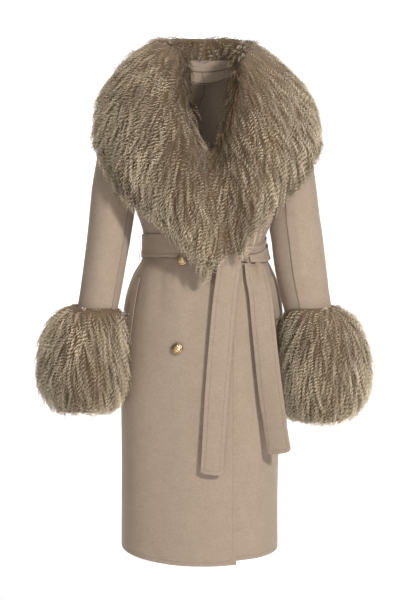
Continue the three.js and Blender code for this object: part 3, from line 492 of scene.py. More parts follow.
for name in ("button_upper", "button_lower"):
    co = points_of(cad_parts[name].data)
    middle = co.mean(0)
    axis = np.linalg.svd(co - middle)[2][2]
    axis *= -np.sign(axis[1])
    heights = (co - middle) @ axis
    foot, crown = heights.min(), heights.max()
    ring = co[np.linalg.norm(co - middle - np.outer(heights, axis), axis=1) > BUTTON_RADIUS * 0.9]
    middle = ring.mean(0) - axis * ((ring.mean(0) - middle) @ axis)
    side_x = np.cross([0, 0, 1], axis)
    side_x /= np.linalg.norm(side_x)
    side_z = np.cross(axis, side_x)
    rim = crown - 5.0 * MM
    bm = bmesh.new()
    sides = 3 * BEADS
    around = [k * 2 * math.pi / sides for k in range(sides)]

    def ring_of(r, height_of):
        spokes = ((side_x * math.cos(a) + side_z * math.sin(a)) * r + axis * height_of(a) for a in around)
        return [bm.verts.new(middle + spoke) for spoke in spokes]

    rings, hollows = [], []
    for share in np.linspace(1, 0.03, 22):
        rings.append(ring_of(share * (BUTTON_RADIUS - 0.4 * MM), lambda a: rim + relief(share, a)[0]))
        hollows.extend(relief(share, a)[1] for a in around)
    # The back, from the rim to the foot of the shank: radius and height.
    back = [(BUTTON_RADIUS, rim - 0.6 * MM), (BUTTON_RADIUS - 0.6 * MM, rim - 1.3 * MM),
            (0.55 * BUTTON_RADIUS, rim - 1.8 * MM), (2.4 * MM, rim - 2.2 * MM), (2.4 * MM, foot + 0.6 * MM),
            (3 * MM, foot)]
    for r, height in back:
        rings.insert(0, ring_of(r, lambda a: height))
    for outer, inner in zip(rings, rings[1:]):
        for i in range(sides):
            bm.faces.new((outer[i - 1], outer[i], inner[i], inner[i - 1]))
    bm.faces.new(rings[0][::-1])
    bm.faces.new(rings[-1])
    mesh = mesh_of(bm, name)
    store(mesh, {"hollow": hollows + [0.6] * (len(mesh.vertices) - len(hollows))})
    mesh.shade_smooth()
    finished(placed(name + "_gilt", mesh), "gilt", gilt, name)

# ---------------------------------------------------------------- hanging chain
# A short chain of polished nickel links, sewn to the inside of the stand at both ends, hangs the coat up.
# Every other link stands across the last one.
nickel = metal("bright_nickel", "#dcd8d0", "#8c867c", 0.2)
GEOMETRY = "NodeSocketGeometry"


def tree_of(name, taken, inputs, given_back):
    """A Geometry Nodes tree that takes a shape and named sizes and gives a shape, and its inputs."""
    tree = bpy.data.node_groups.new(name, "GeometryNodeTree")
    tree.interface.new_socket(taken, in_out="INPUT", socket_type=GEOMETRY)
    for key, kind in inputs.items():
        tree.interface.new_socket(key, in_out="INPUT", socket_type="NodeSocket" + kind)
    tree.interface.new_socket(given_back, in_out="OUTPUT", socket_type=GEOMETRY)
    return tree, tree.nodes.new("NodeGroupInput").outputs


def run(tree, obj, sizes):
    """Runs a Geometry Nodes tree on an object with these sizes, and keeps what it makes as a plain mesh."""
    made = obj.modifiers.new(tree.name, "NODES")
    made.node_group = tree
    sockets = {item.name: item.identifier for item in tree.interface.items_tree if item.in_out == "INPUT"}
    for key, value in sizes.items():
        made[sockets[key]] = value
    return evaluated(obj)


links, given = tree_of("chain_links", "Path", {
    "Count": "Int", "Long": "Float", "Wide": "Float", "Wire": "Float", "Metal": "Material"}, "Chain")
line = node(links, "GeometryNodeMeshToCurve", given["Path"])
line = node(links, "GeometryNodeResampleCurve", line, named={"Count": given["Count"]})
along = node(links, "GeometryNodeInputTangent")
facing = node(links, "FunctionNodeAlignRotationToVector", named={"Vector": along}, axis="X")
every_other = node(links, "ShaderNodeMath", node(links, "GeometryNodeInputIndex"), 2, operation="MODULO")
quarter = node(links, "ShaderNodeMath", every_other, math.pi / 2, operation="MULTIPLY")
rolled = node(links, "ShaderNodeCombineXYZ", quarter, 0, 0)
facing = node(links, "FunctionNodeRotateRotation", facing, rolled, rotation_space="LOCAL")
oval = node(links, "GeometryNodeCurvePrimitiveCircle", named={"Resolution": 14, "Radius": 1.0})
size = node(links, "ShaderNodeCombineXYZ", given["Long"], given["Wide"], 1)
oval = node(links, "GeometryNodeTransform", oval, named={"Scale": size})
wire = node(links, "GeometryNodeCurvePrimitiveCircle", named={"Resolution": 6, "Radius": given["Wire"]})
link = node(links, "GeometryNodeCurveToMesh", oval, wire)
chain = node(links, "GeometryNodeInstanceOnPoints", line, named={"Instance": link, "Rotation": facing})
chain = node(links, "GeometryNodeRealizeInstances", chain)
chain = node(links, "GeometryNodeSetShadeSmooth", chain)
chain = node(links, "GeometryNodeSetMaterial", chain, named={"Material": given["Metal"]})
links.links.new(chain, links.nodes.new("NodeGroupOutput").inputs[0])

path = middle_line("hanging_chain", 0, 9)
mesh = bpy.data.meshes.new("chain_path")
mesh.from_pydata([tuple(p) for p in path], [(i, i + 1) for i in range(8)], [])
chain = placed("hanging_chain_links", mesh)
run(links, chain, dict(Count=13, Long=1.75 * MM, Wide=1.15 * MM, Wire=0.32 * MM, Metal=nickel))
finished(chain, "gilt", nickel, "hanging_chain")

# ---------------------------------------------------------------- fur collar and cuffs
# Dyed lamb skin with its long crimped wool left on. The hair grows in small locks that share one wave,
# lies away from the neck and the top of the cuffs, and is coloured darker towards the skin: partly the
# wool's own colour, partly painted shade deep in the pile.
PILE = 17 * MM  # depth of the locks over the skin


def lamb_material(name, root, tip, shine):
    """Lamb's wool: dark at its root and pale and silky at its tip; the dark root also stands for the shade
    deep in the pile. A painted highlight makes it paler on the crest of each bend, and painted shade darker
    between crests and at its sides, as if each flat hair were round. More painted shade darkens it where its
    tone is low, as round the neck. The light that goes through it softens its shadows."""
    made, tree, shader = material_of(name, Roughness=shine, Specular_IOR_Level=0.5)
    read = {key: node(tree, "ShaderNodeAttribute", out=2, attribute_name=key)
            for key in ("along", "tone", "crest", "across")}
    place = node(tree, "ShaderNodeTexCoord", out=3)
    dye = node(tree, "ShaderNodeTexNoise", place, named={"Scale": 11, "Detail": 2})  # patches of 90 mm
    share = node(tree, "ShaderNodeMath", read["tone"], 0.45, named={2: -0.48}, operation="MULTIPLY_ADD")
    share = node(tree, "ShaderNodeMath", dye, 0.9, share, operation="MULTIPLY_ADD")
    share = node(tree, "ShaderNodeMath", read["along"], 0.65, share, use_clamp=True, operation="MULTIPLY_ADD")
    colour = node(tree, "ShaderNodeMix", share, out=2, data_type="RGBA", named={
        "A_Color": linear(root), "B_Color": linear(tip)})
    # Painted shade at the sides of each flat hair, and a painted highlight on the crest of each bend.
    round_side = node(tree, "ShaderNodeMath", read["across"], 2, operation="POWER")
    light = node(tree, "ShaderNodeMath", round_side, -0.5, named={2: 1.12}, operation="MULTIPLY_ADD")
    crest = node(tree, "ShaderNodeMath", read["crest"], 0.42, named={2: 0.98}, operation="MULTIPLY_ADD")
    light = node(tree, "ShaderNodeMath", light, crest, operation="MULTIPLY")
    # Painted shade where the tone is low, which the skin sets round the neck; the rest of the tone is random.
    deep = node(tree, "ShaderNodeMapRange", read["tone"], named={
        "From Min": -1.1, "From Max": 0.4, "To Min": 0.55, "To Max": 1.0})
    light = node(tree, "ShaderNodeMath", light, deep, operation="MULTIPLY")
    colour = node(tree, "ShaderNodeVectorMath", colour, named={"Scale": light}, operation="SCALE")
    tree.links.new(colour, shader.inputs["Base Color"])
    facing = node(tree, "ShaderNodeNewGeometry", out=1)
    skin = node(tree, "ShaderNodeAttribute", out=1, attribute_name="up_here")
    facing = node(tree, "ShaderNodeMix", 0.55, out=1, data_type="VECTOR", named={
        "A_Vector": facing, "B_Vector": skin})
    facing = node(tree, "ShaderNodeVectorMath", facing, operation="NORMALIZE")
    tree.links.new(facing, shader.inputs["Normal"])
    through = node(tree, "ShaderNodeBsdfTranslucent", colour)
    both = node(tree, "ShaderNodeMixShader", 0.3, shader.outputs[0], through)
    tree.links.new(both, tree.nodes["Material Output"].inputs["Surface"])
    return made


lamb = lamb_material("curly_lamb_fur", "#7f674a", "#f0dfc0", 0.42)
# Dense, matt underwool that fills the gaps between the locks. Its colour, darker than the hair's, is painted
# shade for those gaps.
undercoat = material_of("lamb_undercoat", Base_Color=linear("#6a5742"), Roughness=0.95)[0]

fur, given = tree_of("lamb_fur", "Skin", {
    "Part": "Float", "Spacing": "Float", "Length": "Float", "Width": "Float", "Crimp": "Float",
    "Pitch": "Float", "Lock": "Float", "Gather": "Float", "Reach": "Float", "Points": "Int", "Seed": "Int",
    "Hair": "Material"}, "Fur")
VECTOR, NUMBER = "ShaderNodeVectorMath", "ShaderNodeMath"
READ, STORE = "GeometryNodeInputNamedAttribute", "GeometryNodeStoreNamedAttribute"

# Roots, spread evenly over the skin. Only those of this piece of the fur are kept.
packed = node(fur, NUMBER, given["Spacing"], -2, operation="POWER")
packed = node(fur, NUMBER, packed, 3, operation="MULTIPLY")
roots = node(fur, "GeometryNodeDistributePointsOnFaces", given["Skin"], distribute_method="POISSON", named={
    "Distance Min": given["Spacing"], "Density Max": packed, "Seed": given["Seed"]})
elsewhere = node(fur, READ, "part", data_type="FLOAT")
elsewhere = node(fur, NUMBER, elsewhere, given["Part"], operation="SUBTRACT")
elsewhere = node(fur, NUMBER, elsewhere, operation="ABSOLUTE")
elsewhere = node(fur, NUMBER, elsewhere, 0.5, operation="GREATER_THAN")
roots = node(fur, "GeometryNodeDeleteGeometry", roots, elsewhere, domain="POINT")
place = node(fur, "GeometryNodeInputPosition")
up = node(fur, VECTOR, node(fur, READ, "up", data_type="FLOAT_VECTOR"), operation="NORMALIZE")
pile = node(fur, READ, "pile", data_type="FLOAT")
loose = node(fur, "FunctionNodeRandomValue", data_type="FLOAT_VECTOR", named={
    "Min": (-1, -1, -1), "Max": (1, 1, 1), "Seed": given["Seed"]})
chance = node(fur, "FunctionNodeRandomValue", out=1, data_type="FLOAT", named={
    "Min_001": 0.0, "Max_001": 1.0, "Seed": node(fur, NUMBER, given["Seed"], 7, operation="ADD")})
wisp = node(fur, "FunctionNodeRandomValue", out=1, data_type="FLOAT", named={
    "Min_001": 0.0, "Max_001": 1.0, "Seed": node(fur, NUMBER, given["Seed"], 13, operation="ADD")})
wisp = node(fur, NUMBER, wisp, 9, operation="POWER")
# The lock that a hair belongs to: the middle of its cell.
cell = fur.nodes.new("ShaderNodeTexVoronoi")
fur.links.new(place, cell.inputs["Vector"])
fur.links.new(node(fur, NUMBER, 1, given["Lock"], operation="DIVIDE"), cell.inputs["Scale"])
lock = cell.outputs["Color"]
lock_shift = node(fur, VECTOR, lock, (0.5, 0.5, 0.5), operation="SUBTRACT")
lock_a = node(fur, "ShaderNodeSeparateXYZ", lock, out=0)
lock_b = node(fur, "ShaderNodeSeparateXYZ", lock, out=1)
lock_c = node(fur, "ShaderNodeSeparateXYZ", lock, out=2)
to_lock = node(fur, VECTOR, cell.outputs["Position"], place, operation="SUBTRACT")
flat_part = node(fur, VECTOR, to_lock, up, out=1, operation="DOT_PRODUCT")
flat_part = node(fur, VECTOR, up, named={"Scale": flat_part}, operation="SCALE")
to_lock = node(fur, VECTOR, to_lock, flat_part, operation="SUBTRACT")
# The way that the hair lies, with each lock and each hair a little astray.
drift = node(fur, "ShaderNodeTexNoise", place, out=1, named={"Scale": 14, "Detail": 1})
drift = node(fur, VECTOR, drift, (0.5, 0.5, 0.5), operation="SUBTRACT")
drift = node(fur, VECTOR, drift, named={"Scale": 1.3}, operation="SCALE")
astray = node(fur, VECTOR, lock_shift, named={"Scale": 0.5}, operation="SCALE")
astray = node(fur, VECTOR, astray, drift, operation="ADD")
own = node(fur, VECTOR, loose, named={"Scale": 0.14}, operation="SCALE")
astray = node(fur, VECTOR, astray, own, operation="ADD")
way = node(fur, VECTOR, node(fur, READ, "lie", data_type="FLOAT_VECTOR"), astray, operation="ADD")
way = node(fur, VECTOR, way, operation="NORMALIZE")
lead = node(fur, VECTOR, to_lock, way, out=1, operation="DOT_PRODUCT")
gathered = node(fur, VECTOR, to_lock, named={"Scale": given["Gather"]}, operation="SCALE")
length = node(fur, NUMBER, chance, 0.5, 0.7, operation="MULTIPLY_ADD")
length = node(fur, NUMBER, length, given["Length"], operation="MULTIPLY")
length = node(fur, NUMBER, length, node(fur, READ, "long", data_type="FLOAT"), operation="MULTIPLY")
# How far past the skin's edge it may hang.
kept = node(fur, NUMBER, lock_c, 0.9, named={2: 0.15}, operation="MULTIPLY_ADD")
kept = node(fur, NUMBER, chance, 0.6, kept, operation="MULTIPLY_ADD")
kept = node(fur, NUMBER, kept, node(fur, READ, "hang", data_type="FLOAT"), operation="MULTIPLY")
kept = node(fur, NUMBER, kept, given["Reach"], operation="MULTIPLY")


def laid(share, lift):
    """The place on the skin that a hair reaches after this share of its length, lifted off the skin. A hair
    that would hang too far over the skin's edge is made shorter."""
    step = node(fur, NUMBER, length, share, operation="MULTIPLY")
    least = node(fur, NUMBER, step, 0.2, operation="MULTIPLY")
    for last in (False, True):
        aim = node(fur, VECTOR, way, named={"Scale": step}, operation="SCALE")
        aim = node(fur, VECTOR, place, aim, operation="ADD")
        spot, there = (
            node(fur, "GeometryNodeSampleNearestSurface", given["Skin"], data_type="FLOAT_VECTOR", named={
                "Value": value, "Sample Position": aim}) for value in (place, up))
        past = node(fur, VECTOR, aim, spot, operation="SUBTRACT")
        rise = node(fur, VECTOR, past, there, out=1, operation="DOT_PRODUCT")
        rise = node(fur, VECTOR, there, named={"Scale": rise}, operation="SCALE")
        past = node(fur, VECTOR, past, rise, operation="SUBTRACT")
        past_length = node(fur, VECTOR, past, out=1, operation="LENGTH")
        if not last:
            over = node(fur, NUMBER, past_length, kept, operation="SUBTRACT")
            over = node(fur, NUMBER, over, 0, operation="MAXIMUM")
            step = node(fur, NUMBER, over, -1.4, step, operation="MULTIPLY_ADD")
            step = node(fur, NUMBER, step, least, operation="MAXIMUM")
    past_length = node(fur, NUMBER, past_length, 1e-5, operation="ADD")
    limit = node(fur, NUMBER, kept, past_length, operation="DIVIDE")
    limit = node(fur, NUMBER, limit, 1, operation="MINIMUM")
    past = node(fur, VECTOR, past, named={"Scale": limit}, operation="SCALE")
    lifted = node(fur, VECTOR, there, named={"Scale": lift}, operation="SCALE")
    spot = node(fur, VECTOR, spot, past, operation="ADD")
    return node(fur, VECTOR, spot, lifted, operation="ADD")


raised = node(fur, NUMBER, wisp, 9 * MM, operation="MULTIPLY")
raised = node(fur, NUMBER, node(fur, READ, "puff", data_type="FLOAT"), 1, raised, operation="MULTIPLY_ADD")
middle_lift = node(fur, NUMBER, chance, -0.42, 0.12, operation="MULTIPLY_ADD")
middle_lift = node(fur, NUMBER, middle_lift, pile, raised, operation="MULTIPLY_ADD")
sunk = node(fur, NUMBER, pile, node(fur, READ, "deep", data_type="FLOAT"), operation="MULTIPLY")
sunk = node(fur, VECTOR, up, named={"Scale": sunk}, operation="SCALE")
start = node(fur, VECTOR, place, sunk, operation="SUBTRACT")
middle = laid(0.42, middle_lift)
drawn = node(fur, VECTOR, gathered, named={"Scale": 0.6}, operation="SCALE")
middle = node(fur, VECTOR, drawn, middle, operation="ADD")
tip_lift = node(fur, NUMBER, lock_b, 6 * MM, named={2: -2 * MM}, operation="MULTIPLY_ADD")
tip_lift = node(fur, NUMBER, tip_lift, middle_lift, operation="ADD")
tip = node(fur, VECTOR, laid(1.0, tip_lift), gathered, operation="ADD")
reach_1 = node(fur, VECTOR, start, middle, out=1, operation="DISTANCE")
reach_2 = node(fur, VECTOR, middle, tip, out=1, operation="DISTANCE")
whole = node(fur, NUMBER, reach_1, reach_2, operation="ADD")
pitch = node(fur, NUMBER, lock_c, 0.5, named={2: 0.55}, operation="MULTIPLY_ADD")
pitch = node(fur, NUMBER, chance, 0.3, pitch, operation="MULTIPLY_ADD")
pitch = node(fur, NUMBER, pitch, given["Pitch"], operation="MULTIPLY")
waves = node(fur, NUMBER, whole, pitch, operation="DIVIDE")
early = node(fur, NUMBER, lead, pitch, operation="DIVIDE")
early = node(fur, NUMBER, early, -2 * math.pi, operation="MULTIPLY")
phase = node(fur, NUMBER, lock_a, 40, early, operation="MULTIPLY_ADD")
phase = node(fur, NUMBER, chance, 5.0, phase, operation="MULTIPLY_ADD")
crimp = node(fur, NUMBER, lock_a, 0.7, named={2: 0.65}, operation="MULTIPLY_ADD")
crimp = node(fur, NUMBER, crimp, given["Crimp"], operation="MULTIPLY")
# A hair's tone: random from hair to hair and lock to lock, plus the skin's pale value, which carries painted
# shade round the neck and painted light lower on the collar.
tone = node(fur, NUMBER, chance, -0.5, node(fur, READ, "pale", data_type="FLOAT"), operation="MULTIPLY_ADD")
tone = node(fur, NUMBER, lock_b, 0.6, tone, operation="MULTIPLY_ADD")
tone = node(fur, NUMBER, tone, 0.45, operation="ADD")
twist = node(fur, NUMBER, node(fur, "ShaderNodeSeparateXYZ", loose, out=2), 0.8, operation="MULTIPLY")
CARRIED = {"twist": twist, "start": start, "middle": middle, "tip": tip, "up_here": up, "waves": waves,
           "phase": phase, "crimp": crimp, "tone": tone}
for name, value in CARRIED.items():
    kind = "FLOAT_VECTOR" if value.type == "VECTOR" else "FLOAT"
    roots = node(fur, STORE, roots, None, name, value, data_type=kind, domain="POINT")

# Hairs: a curve for each root, bent through its three places, with the crimp laid on it.
line = node(fur, "GeometryNodeCurvePrimitiveLine")
line = node(fur, "GeometryNodeResampleCurve", line, named={"Count": given["Points"]})
hairs = node(fur, "GeometryNodeInstanceOnPoints", roots, named={"Instance": line})
hairs = node(fur, "GeometryNodeRealizeInstances", hairs)
stored = {name: node(fur, READ, name, data_type="FLOAT_VECTOR" if value.type == "VECTOR" else "FLOAT")
          for name, value in CARRIED.items()}
t = node(fur, "GeometryNodeSplineParameter")
rest = node(fur, NUMBER, 1, t, operation="SUBTRACT")
first = node(fur, VECTOR, stored["middle"], stored["start"], operation="SUBTRACT")
second = node(fur, VECTOR, stored["tip"], stored["middle"], operation="SUBTRACT")
# Quadratic curve: start + 2 t first + t squared (second - first).
twice = node(fur, NUMBER, t, 2, operation="MULTIPLY")
square = node(fur, NUMBER, t, 2, operation="POWER")
turned = node(fur, VECTOR, second, first, operation="SUBTRACT")
bend = node(fur, VECTOR, first, named={"Scale": twice}, operation="SCALE")
bend = node(fur, VECTOR, stored["start"], bend, operation="ADD")
curved = node(fur, VECTOR, turned, named={"Scale": square}, operation="SCALE")
bend = node(fur, VECTOR, bend, curved, operation="ADD")
heading = node(fur, VECTOR, turned, named={"Scale": t}, operation="SCALE")
heading = node(fur, VECTOR, first, heading, operation="ADD")
heading = node(fur, VECTOR, heading, operation="NORMALIZE")
across = node(fur, VECTOR, heading, stored["up_here"], operation="CROSS_PRODUCT")
across = node(fur, VECTOR, across, operation="NORMALIZE")
above = node(fur, VECTOR, across, heading, operation="CROSS_PRODUCT")
turn = node(fur, NUMBER, stored["waves"], t, operation="MULTIPLY")
turn = node(fur, NUMBER, turn, 2 * math.pi, stored["phase"], operation="MULTIPLY_ADD")
strength = node(fur, "ShaderNodeMapRange", t, interpolation_type="SMOOTHSTEP", named={
    "From Min": 0.0, "From Max": 0.3})
strength = node(fur, NUMBER, strength, stored["crimp"], operation="MULTIPLY")
sway = node(fur, NUMBER, turn, operation="SINE")
heave = node(fur, NUMBER, turn, operation="COSINE")
# The crest of each wave, which the material paints as a highlight.
hairs = node(fur, STORE, hairs, None, "crest", heave, data_type="FLOAT", domain="POINT")
sway = node(fur, NUMBER, sway, strength, operation="MULTIPLY")
heave = node(fur, NUMBER, heave, strength, operation="MULTIPLY")
heave = node(fur, NUMBER, heave, 0.7, operation="MULTIPLY")
sway = node(fur, VECTOR, across, named={"Scale": sway}, operation="SCALE")
heave = node(fur, VECTOR, above, named={"Scale": heave}, operation="SCALE")
bend = node(fur, VECTOR, bend, sway, operation="ADD")
bend = node(fur, VECTOR, bend, heave, operation="ADD")
hairs = node(fur, "GeometryNodeSetPosition", hairs, named={"Position": bend})
hairs = node(fur, "GeometryNodeSetCurveNormal", hairs, named={"Normal": above}, mode="FREE")
hairs = node(fur, "GeometryNodeSetCurveTilt", hairs, named={"Tilt": stored["twist"]})
hairs = node(fur, STORE, hairs, None, "along", t, data_type="FLOAT", domain="POINT")
# Each hair is a flat ribbon that narrows at both ends.
taper = node(fur, NUMBER, rest, 0.6, operation="POWER")
opening = node(fur, "ShaderNodeMapRange", t, named={
    "From Min": 0.0, "From Max": 0.2, "To Min": 0.5, "To Max": 1.0})
taper = node(fur, NUMBER, taper, opening, operation="MULTIPLY")
half_width = node(fur, NUMBER, given["Width"], 0.5, operation="MULTIPLY")
left = node(fur, "ShaderNodeCombineXYZ", node(fur, NUMBER, half_width, -1, operation="MULTIPLY"), 0, 0)
right = node(fur, "ShaderNodeCombineXYZ", half_width, 0, 0)
profile = node(fur, "GeometryNodeCurvePrimitiveLine", left, right)
side_share = node(fur, "GeometryNodeSplineParameter")
side_share = node(fur, NUMBER, side_share, 2, named={2: -1.0}, operation="MULTIPLY_ADD")
profile = node(fur, STORE, profile, None, "across", side_share, data_type="FLOAT", domain="POINT")
hairs = node(fur, "GeometryNodeCurveToMesh", hairs, profile, named={"Scale": taper})
hairs = node(fur, "GeometryNodeSetShadeSmooth", hairs)
hairs = node(fur, "GeometryNodeSetMaterial", hairs, named={"Material": given["Hair"]})
fur.links.new(hairs, fur.nodes.new("NodeGroupOutput").inputs[0])


def surface_of(names):
    """The surfaces of several CAD nodes as one tree for finding the nearest point."""
    points, faces = [], []
    for name in names:
        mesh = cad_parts[name].data
        base = len(points)
        points.extend(v.co.copy() for v in mesh.vertices)
        faces.extend([base + i for i in p.vertices] for p in mesh.polygons)
    return BVHTree.FromPolygons(points, faces)


def smoothed(mesh, values, times):
    """Values on a mesh's vertices, averaged with their neighbours' several times."""
    pairs = np.array([e.vertices[:] for e in mesh.edges])
    count = np.bincount(pairs.ravel(), minlength=len(values)).clip(1)[:, None]
    for _ in range(times):
        total = np.zeros_like(values)
        np.add.at(total, pairs[:, 0], values[pairs[:, 1]])
        np.add.at(total, pairs[:, 1], values[pairs[:, 0]])
        values = 0.4 * values + 0.6 * total / count
    return values


def skin_of(name, solids, under, clear, flow, rounds=2, fill=None):
    """An even mesh of a fur's solids: the whole of it, sunk by its pile, is the undercoat, and the open face
    that hair grows from is given back. flow(co, normals) gives the way that the hair lies, values for the
    fur tree, and where none grows. Nor does it within clear of the surfaces under it, nor inside them.
    fill(bm) may add to the solids first."""
    bm = bmesh.new()
    for solid in solids:
        bm.from_mesh(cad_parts[solid].data)
    if fill:
        fill(bm)
    obj = placed(name + "_undercoat", mesh_of(bm, name))
    even = obj.modifiers.new("Remesh", "REMESH")
    even.mode = "VOXEL"
    even.voxel_size = 6.5 * MM
    evaluated(obj)
    mesh = obj.data
    co = smoothed(mesh, points_of(mesh), rounds)
    mesh.vertices.foreach_set("co", co.ravel())
    mesh.update()
    normals = smoothed(mesh, normals_of(mesh), 3)
    normals /= np.linalg.norm(normals, axis=1)[:, None].clip(1e-6)
    backing = surface_of(under)
    over = np.array([backing.find_nearest(p)[3] for p in co])
    lie, values, bald = flow(co, normals)
    grows = (over > clear) & ~bald
    rays = (backing.ray_cast(Vector(p), Vector(-n), 0.1)[3] for p, n in zip(co, normals))
    thick = np.array([0.1 if ray is None else ray for ray in rays])
    depth = smoothed(mesh, np.where(grows, np.clip((thick - 4 * MM) * 0.75, 0, PILE), 0)[:, None], 3)[:, 0]
    crest = np.clip(normals[:, 2] * 1.5, 0, 1)
    lie = lie - normals * (lie * normals).sum(1)[:, None]
    lie /= np.linalg.norm(lie, axis=1)[:, None].clip(1e-6)
    top = obj.copy()
    top.data = mesh.copy()
    top.name = name + "_skin"
    store(top.data, {"up": normals, "lie": lie, **values, "pile": depth * (1 - 0.45 * crest)})
    bm = bmesh.new()
    bm.from_mesh(top.data)
    bm.verts.ensure_lookup_table()
    bmesh.ops.delete(bm, geom=[v for v in bm.verts if not grows[v.index]], context="VERTS")
    bm.to_mesh(top.data)
    bm.free()
    mesh.vertices.foreach_set("co", (co - normals * (depth * (1 - 0.85 * crest))[:, None]).ravel())
    mesh.shade_smooth()
    finished(obj, "fur", undercoat, *solids)
    return top


def grow(skin, name, part, **sizes):
    """Grows the hair of one part of a skin with the fur tree, as a plain mesh."""
    obj = skin.copy()
    obj.data = skin.data.copy()
    obj.name = name
    bpy.context.scene.collection.objects.link(obj)
    run(fur, obj, dict(sizes, Part=float(part)))
    for attribute in list(obj.data.attributes):
        if attribute.name in CARRIED and attribute.name not in ("tone", "up_here"):
            obj.data.attributes.remove(attribute)
    finished(obj, "fur", lamb)


# A hair's length and width, how high and how long a wave of its crimp is, how wide a lock is and how much its
# hairs gather to its middle, and how far a hair may hang over the skin's edge.
HAIR = dict(Length=56 * MM, Width=2.3 * MM, Crimp=2.7 * MM, Pitch=9.5 * MM, Lock=10 * MM, Gather=0.5,
            Reach=9 * MM, Points=27, Hair=lamb)
NO_HAIR = 9  # a part that is never grown


def collar_flow(co, normals):
    """Away from the neck, and straight down along the opening. Behind the neck it falls off the collar's top
    to both sides. Short hair rolls over the neck's edge. It hangs over the lower edge at the front, most of
    all on the right lapel. Its colour holds painted shade round the neck and painted light further down."""
    x, y, z = co.T
    whorl = np.stack([np.interp(x, [-0.05, 0.05], [-0.03, 0.04]), 0 * x, 0.1 + 0 * x], axis=1)
    lie = co - whorl
    lie /= np.linalg.norm(lie, axis=1)[:, None]
    behind = np.clip(y / 0.05, 0, 1)
    falling = np.stack([5 * (x + 0.018), 0 * x, -1 + 0 * x], axis=1)
    lie = lie * (1 - behind)[:, None] + falling * behind[:, None]
    inward = np.array([0.003, 0.01, 0]) - co
    inward[:, 2] = 0
    facing = (inward * normals).sum(1) / np.linalg.norm(inward, axis=1)
    rolled = np.clip(facing * 1.6, 0, 1) * (z > -0.16)
    crest = np.clip(normals[:, 2] * 1.5, 0, 1) * (z > 0.03) * (y > 0.02)
    tufts = 5 + 5 * np.sin(90 * x + 1.5) * np.sin(37 * x + 0.5)
    low, left, front = z < -0.12, x >= 0.02, y < -0.06
    fringe = front * np.clip((-0.22 - z) / 0.05, 0, 1)
    rim = front & (z < -0.25) & (normals[:, 1] > -0.45)
    by_neck = np.exp(-((from_line(co, 45, 30, 20, -140)[0] / 60) ** 2))
    by_neck += 0.8 * np.exp(-((from_line(co, -50, 50, -20, -20)[0] / 40) ** 2))
    values = {
        "deep": 1 - np.maximum(0.7 * rolled, 0.6 * crest),
        "long": 1 - 0.35 * rolled * (1 - behind),
        "puff": MM * (10 * rolled * (1 - behind) + tufts * crest),
        "part": np.select([rim, low & ~left, ~low & ~left, ~low & left], [NO_HAIR, 0, 1, 2], 3),
        "hang": 1 + fringe * np.interp(x, [0, 0.03, 0.06], [0.9, -0.3, -0.55]),
        # pale: painted shade round the neck and painted light further down; paler too at the outer side of
        # the right shoulder, and darker along the left lapel's fringe.
        "pale": np.interp(-z, [-0.05, 0.05, 0.2, 0.36], [-0.1, 0.05, 0.2, 0.5]) - 1.25 * by_neck
        + 0.3 * np.clip(-x - 0.12, 0, 0.1) / 0.1 - 0.45 * fringe * np.interp(x, [0.03, 0.07], [0, 1]),
    }
    return lie, values, np.zeros(len(co), bool)


def lapels_meet(bm):
    """A wedge in the line where the lapels meet below the neck, so that their fur closes over it."""
    rings = []
    for z, x, y in ((-165, 14, -150), (-185, 21, -166), (-205, 28, -177), (-245, 43, -185),
                    (-290, 52, -187), (-335, 61, -184), (-365, 64, -180), (-385, 66, -176)):
        corners = ((x - 18, -125), (x + 18, -125), (x + 18, y + 5), (x, y), (x - 18, y + 5))
        rings.append([bm.verts.new((a * MM, b * MM, z * MM)) for a, b in corners])
    for upper, lower in zip(rings, rings[1:]):
        for i in range(5):
            bm.faces.new((upper[i], upper[i - 1], lower[i - 1], lower[i]))
    bm.faces.new(rings[0])
    bm.faces.new(rings[-1][::-1])


SPACING = 6.4 * MM
body = ["front_right", "front_left", "back"]
sleeves = {side: [f"sleeve_{side}_top", f"sleeve_{side}_under"] for side in ("right", "left")}
under_collar = body + sleeves["right"] + sleeves["left"] + [
    "collar_stand", "collar_stand_upper", "belt", "belt_knot", "belt_end_front"]
skin = skin_of("fur_collar", ["collar_fur_right", "collar_fur_left"], under_collar, 4 * MM, collar_flow,
               fill=lapels_meet)
for part, name in enumerate(("right_lapel", "right_shoulder", "left_shoulder", "left_lapel")):
    grow(skin, f"collar_locks_{name}", part, Spacing=SPACING, Seed=3, **HAIR)

for side in ("right", "left"):
    axis = arm_axis(side)
    low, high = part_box(f"cuff_fur_{side}")
    crown = np.array([(low.x + high.x) / 2, (low.y + high.y) / 2, high.z + 0.07])

    def cuff_flow(co, normals, axis=axis, crown=crown, low=low):
        """Down and out from the top of the cuff. No hair grows inside the mouth."""
        height = co[:, 2] - low.z
        outward = co - np.array([axis(z) for z in co[:, 2].clip(-0.62, 0)])
        outward[:, 2] = 0
        crest = np.clip(normals[:, 2] * 1.5, 0, 1)
        bald = (outward * normals).sum(1) < -0.2 * np.linalg.norm(outward, axis=1)
        values = {"deep": 1 - 0.6 * crest, "long": 1.1, "puff": MM * (2 + 2 * crest), "part": 0,
                  "hang": np.interp(-height, [-0.06, -0.01], [0.8, 2.4]),
                  "pale": np.interp(-height, [-0.2, 0], [0.3, 0.5])}
        return co - crown, values, bald

    skin = skin_of(f"fur_cuff_{side}", [f"cuff_fur_{side}"], body + sleeves[side], 3 * MM, cuff_flow,
                   rounds=7)
    grow(skin, f"cuff_locks_{side}", 0, Spacing=SPACING, Seed=5, **HAIR)

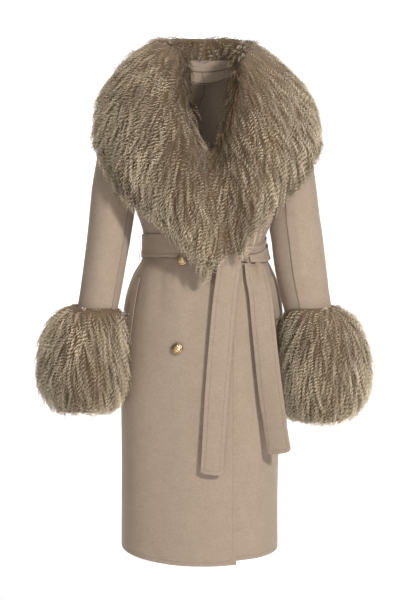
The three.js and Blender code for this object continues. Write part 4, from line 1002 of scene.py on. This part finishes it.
# ---------------------------------------------------------------- floor, light and camera
# A sweep of matt white paper runs under the coat and up behind it. Large soft lamps light both, and the
# camera stands a little above the middle of the coat.
paper = material_of("white_paper", Base_Color=(0.96, 0.96, 0.96, 1), Roughness=0.9)[0]
FLOOR = -1.42  # the paper's height
FRONT_END, BACK_END = -7, 3  # of its flat part
BEND = 1.5  # radius
sweep = [(FRONT_END, 0), (BACK_END, 0)]
for a in np.linspace(0.1, 1.57, 12):
    sweep.append((BACK_END + BEND * math.sin(a), BEND * (1 - math.cos(a))))
sweep.append((BACK_END + BEND, 6))
bm = bmesh.new()
near, far = ([bm.verts.new((x, y, FLOOR + z)) for y, z in sweep] for x in (-7, 7))
for i in range(len(sweep) - 1):
    bm.faces.new((near[i], far[i], far[i + 1], near[i + 1]))
floor = placed("sweep", mesh_of(bm, "sweep"))
floor.data.materials.append(paper)
floor.data.shade_smooth()

TARGET = Vector((-0.009, 0, -0.497))  # the middle of the coat


def lamp(name, place, size, watts, aim=TARGET):
    light = bpy.data.lights.new(name, "AREA")
    light.shape = "RECTANGLE"
    light.size, light.size_y = size
    light.energy = watts
    obj = placed(name, light)
    obj.location = place
    obj.rotation_euler = (aim - obj.location).to_track_quat("-Z", "Y").to_euler()


lamp("key", (1.7, -2.9, 1.1), (0.3, 0.3), 107)
lamp("fill", (-0.4, -3.6, 0.4), (1.3, 1.3), 29)
lamp("top", (0.2, -0.4, 2.4), (1.5, 1.2), 22)
lamp("backdrop", (0, 2.4, 3.4), (4, 1), 230, aim=Vector((0, BACK_END + BEND, -0.6)))

world = bpy.data.worlds.new("studio")
world.use_nodes = True
world.node_tree.nodes["Background"].inputs["Color"].default_value = (1, 1, 1, 1)
world.node_tree.nodes["Background"].inputs["Strength"].default_value = 0.12
bpy.context.scene.world = world

AWAY, RISE = 3.5, math.radians(6.4)  # from the target to the camera, and its angle over the horizon
camera = bpy.data.cameras.new("camera")
camera.lens = 93.75
camera.sensor_width = 36
camera_obj = placed("camera", camera)
camera_obj.location = TARGET + AWAY * Vector((0, -math.cos(RISE), math.sin(RISE)))
camera_obj.rotation_euler = (TARGET - camera_obj.location).to_track_quat("-Z", "Y").to_euler()
bpy.context.scene.camera = camera_obj
bpy.context.scene.view_settings.view_transform = "Standard"
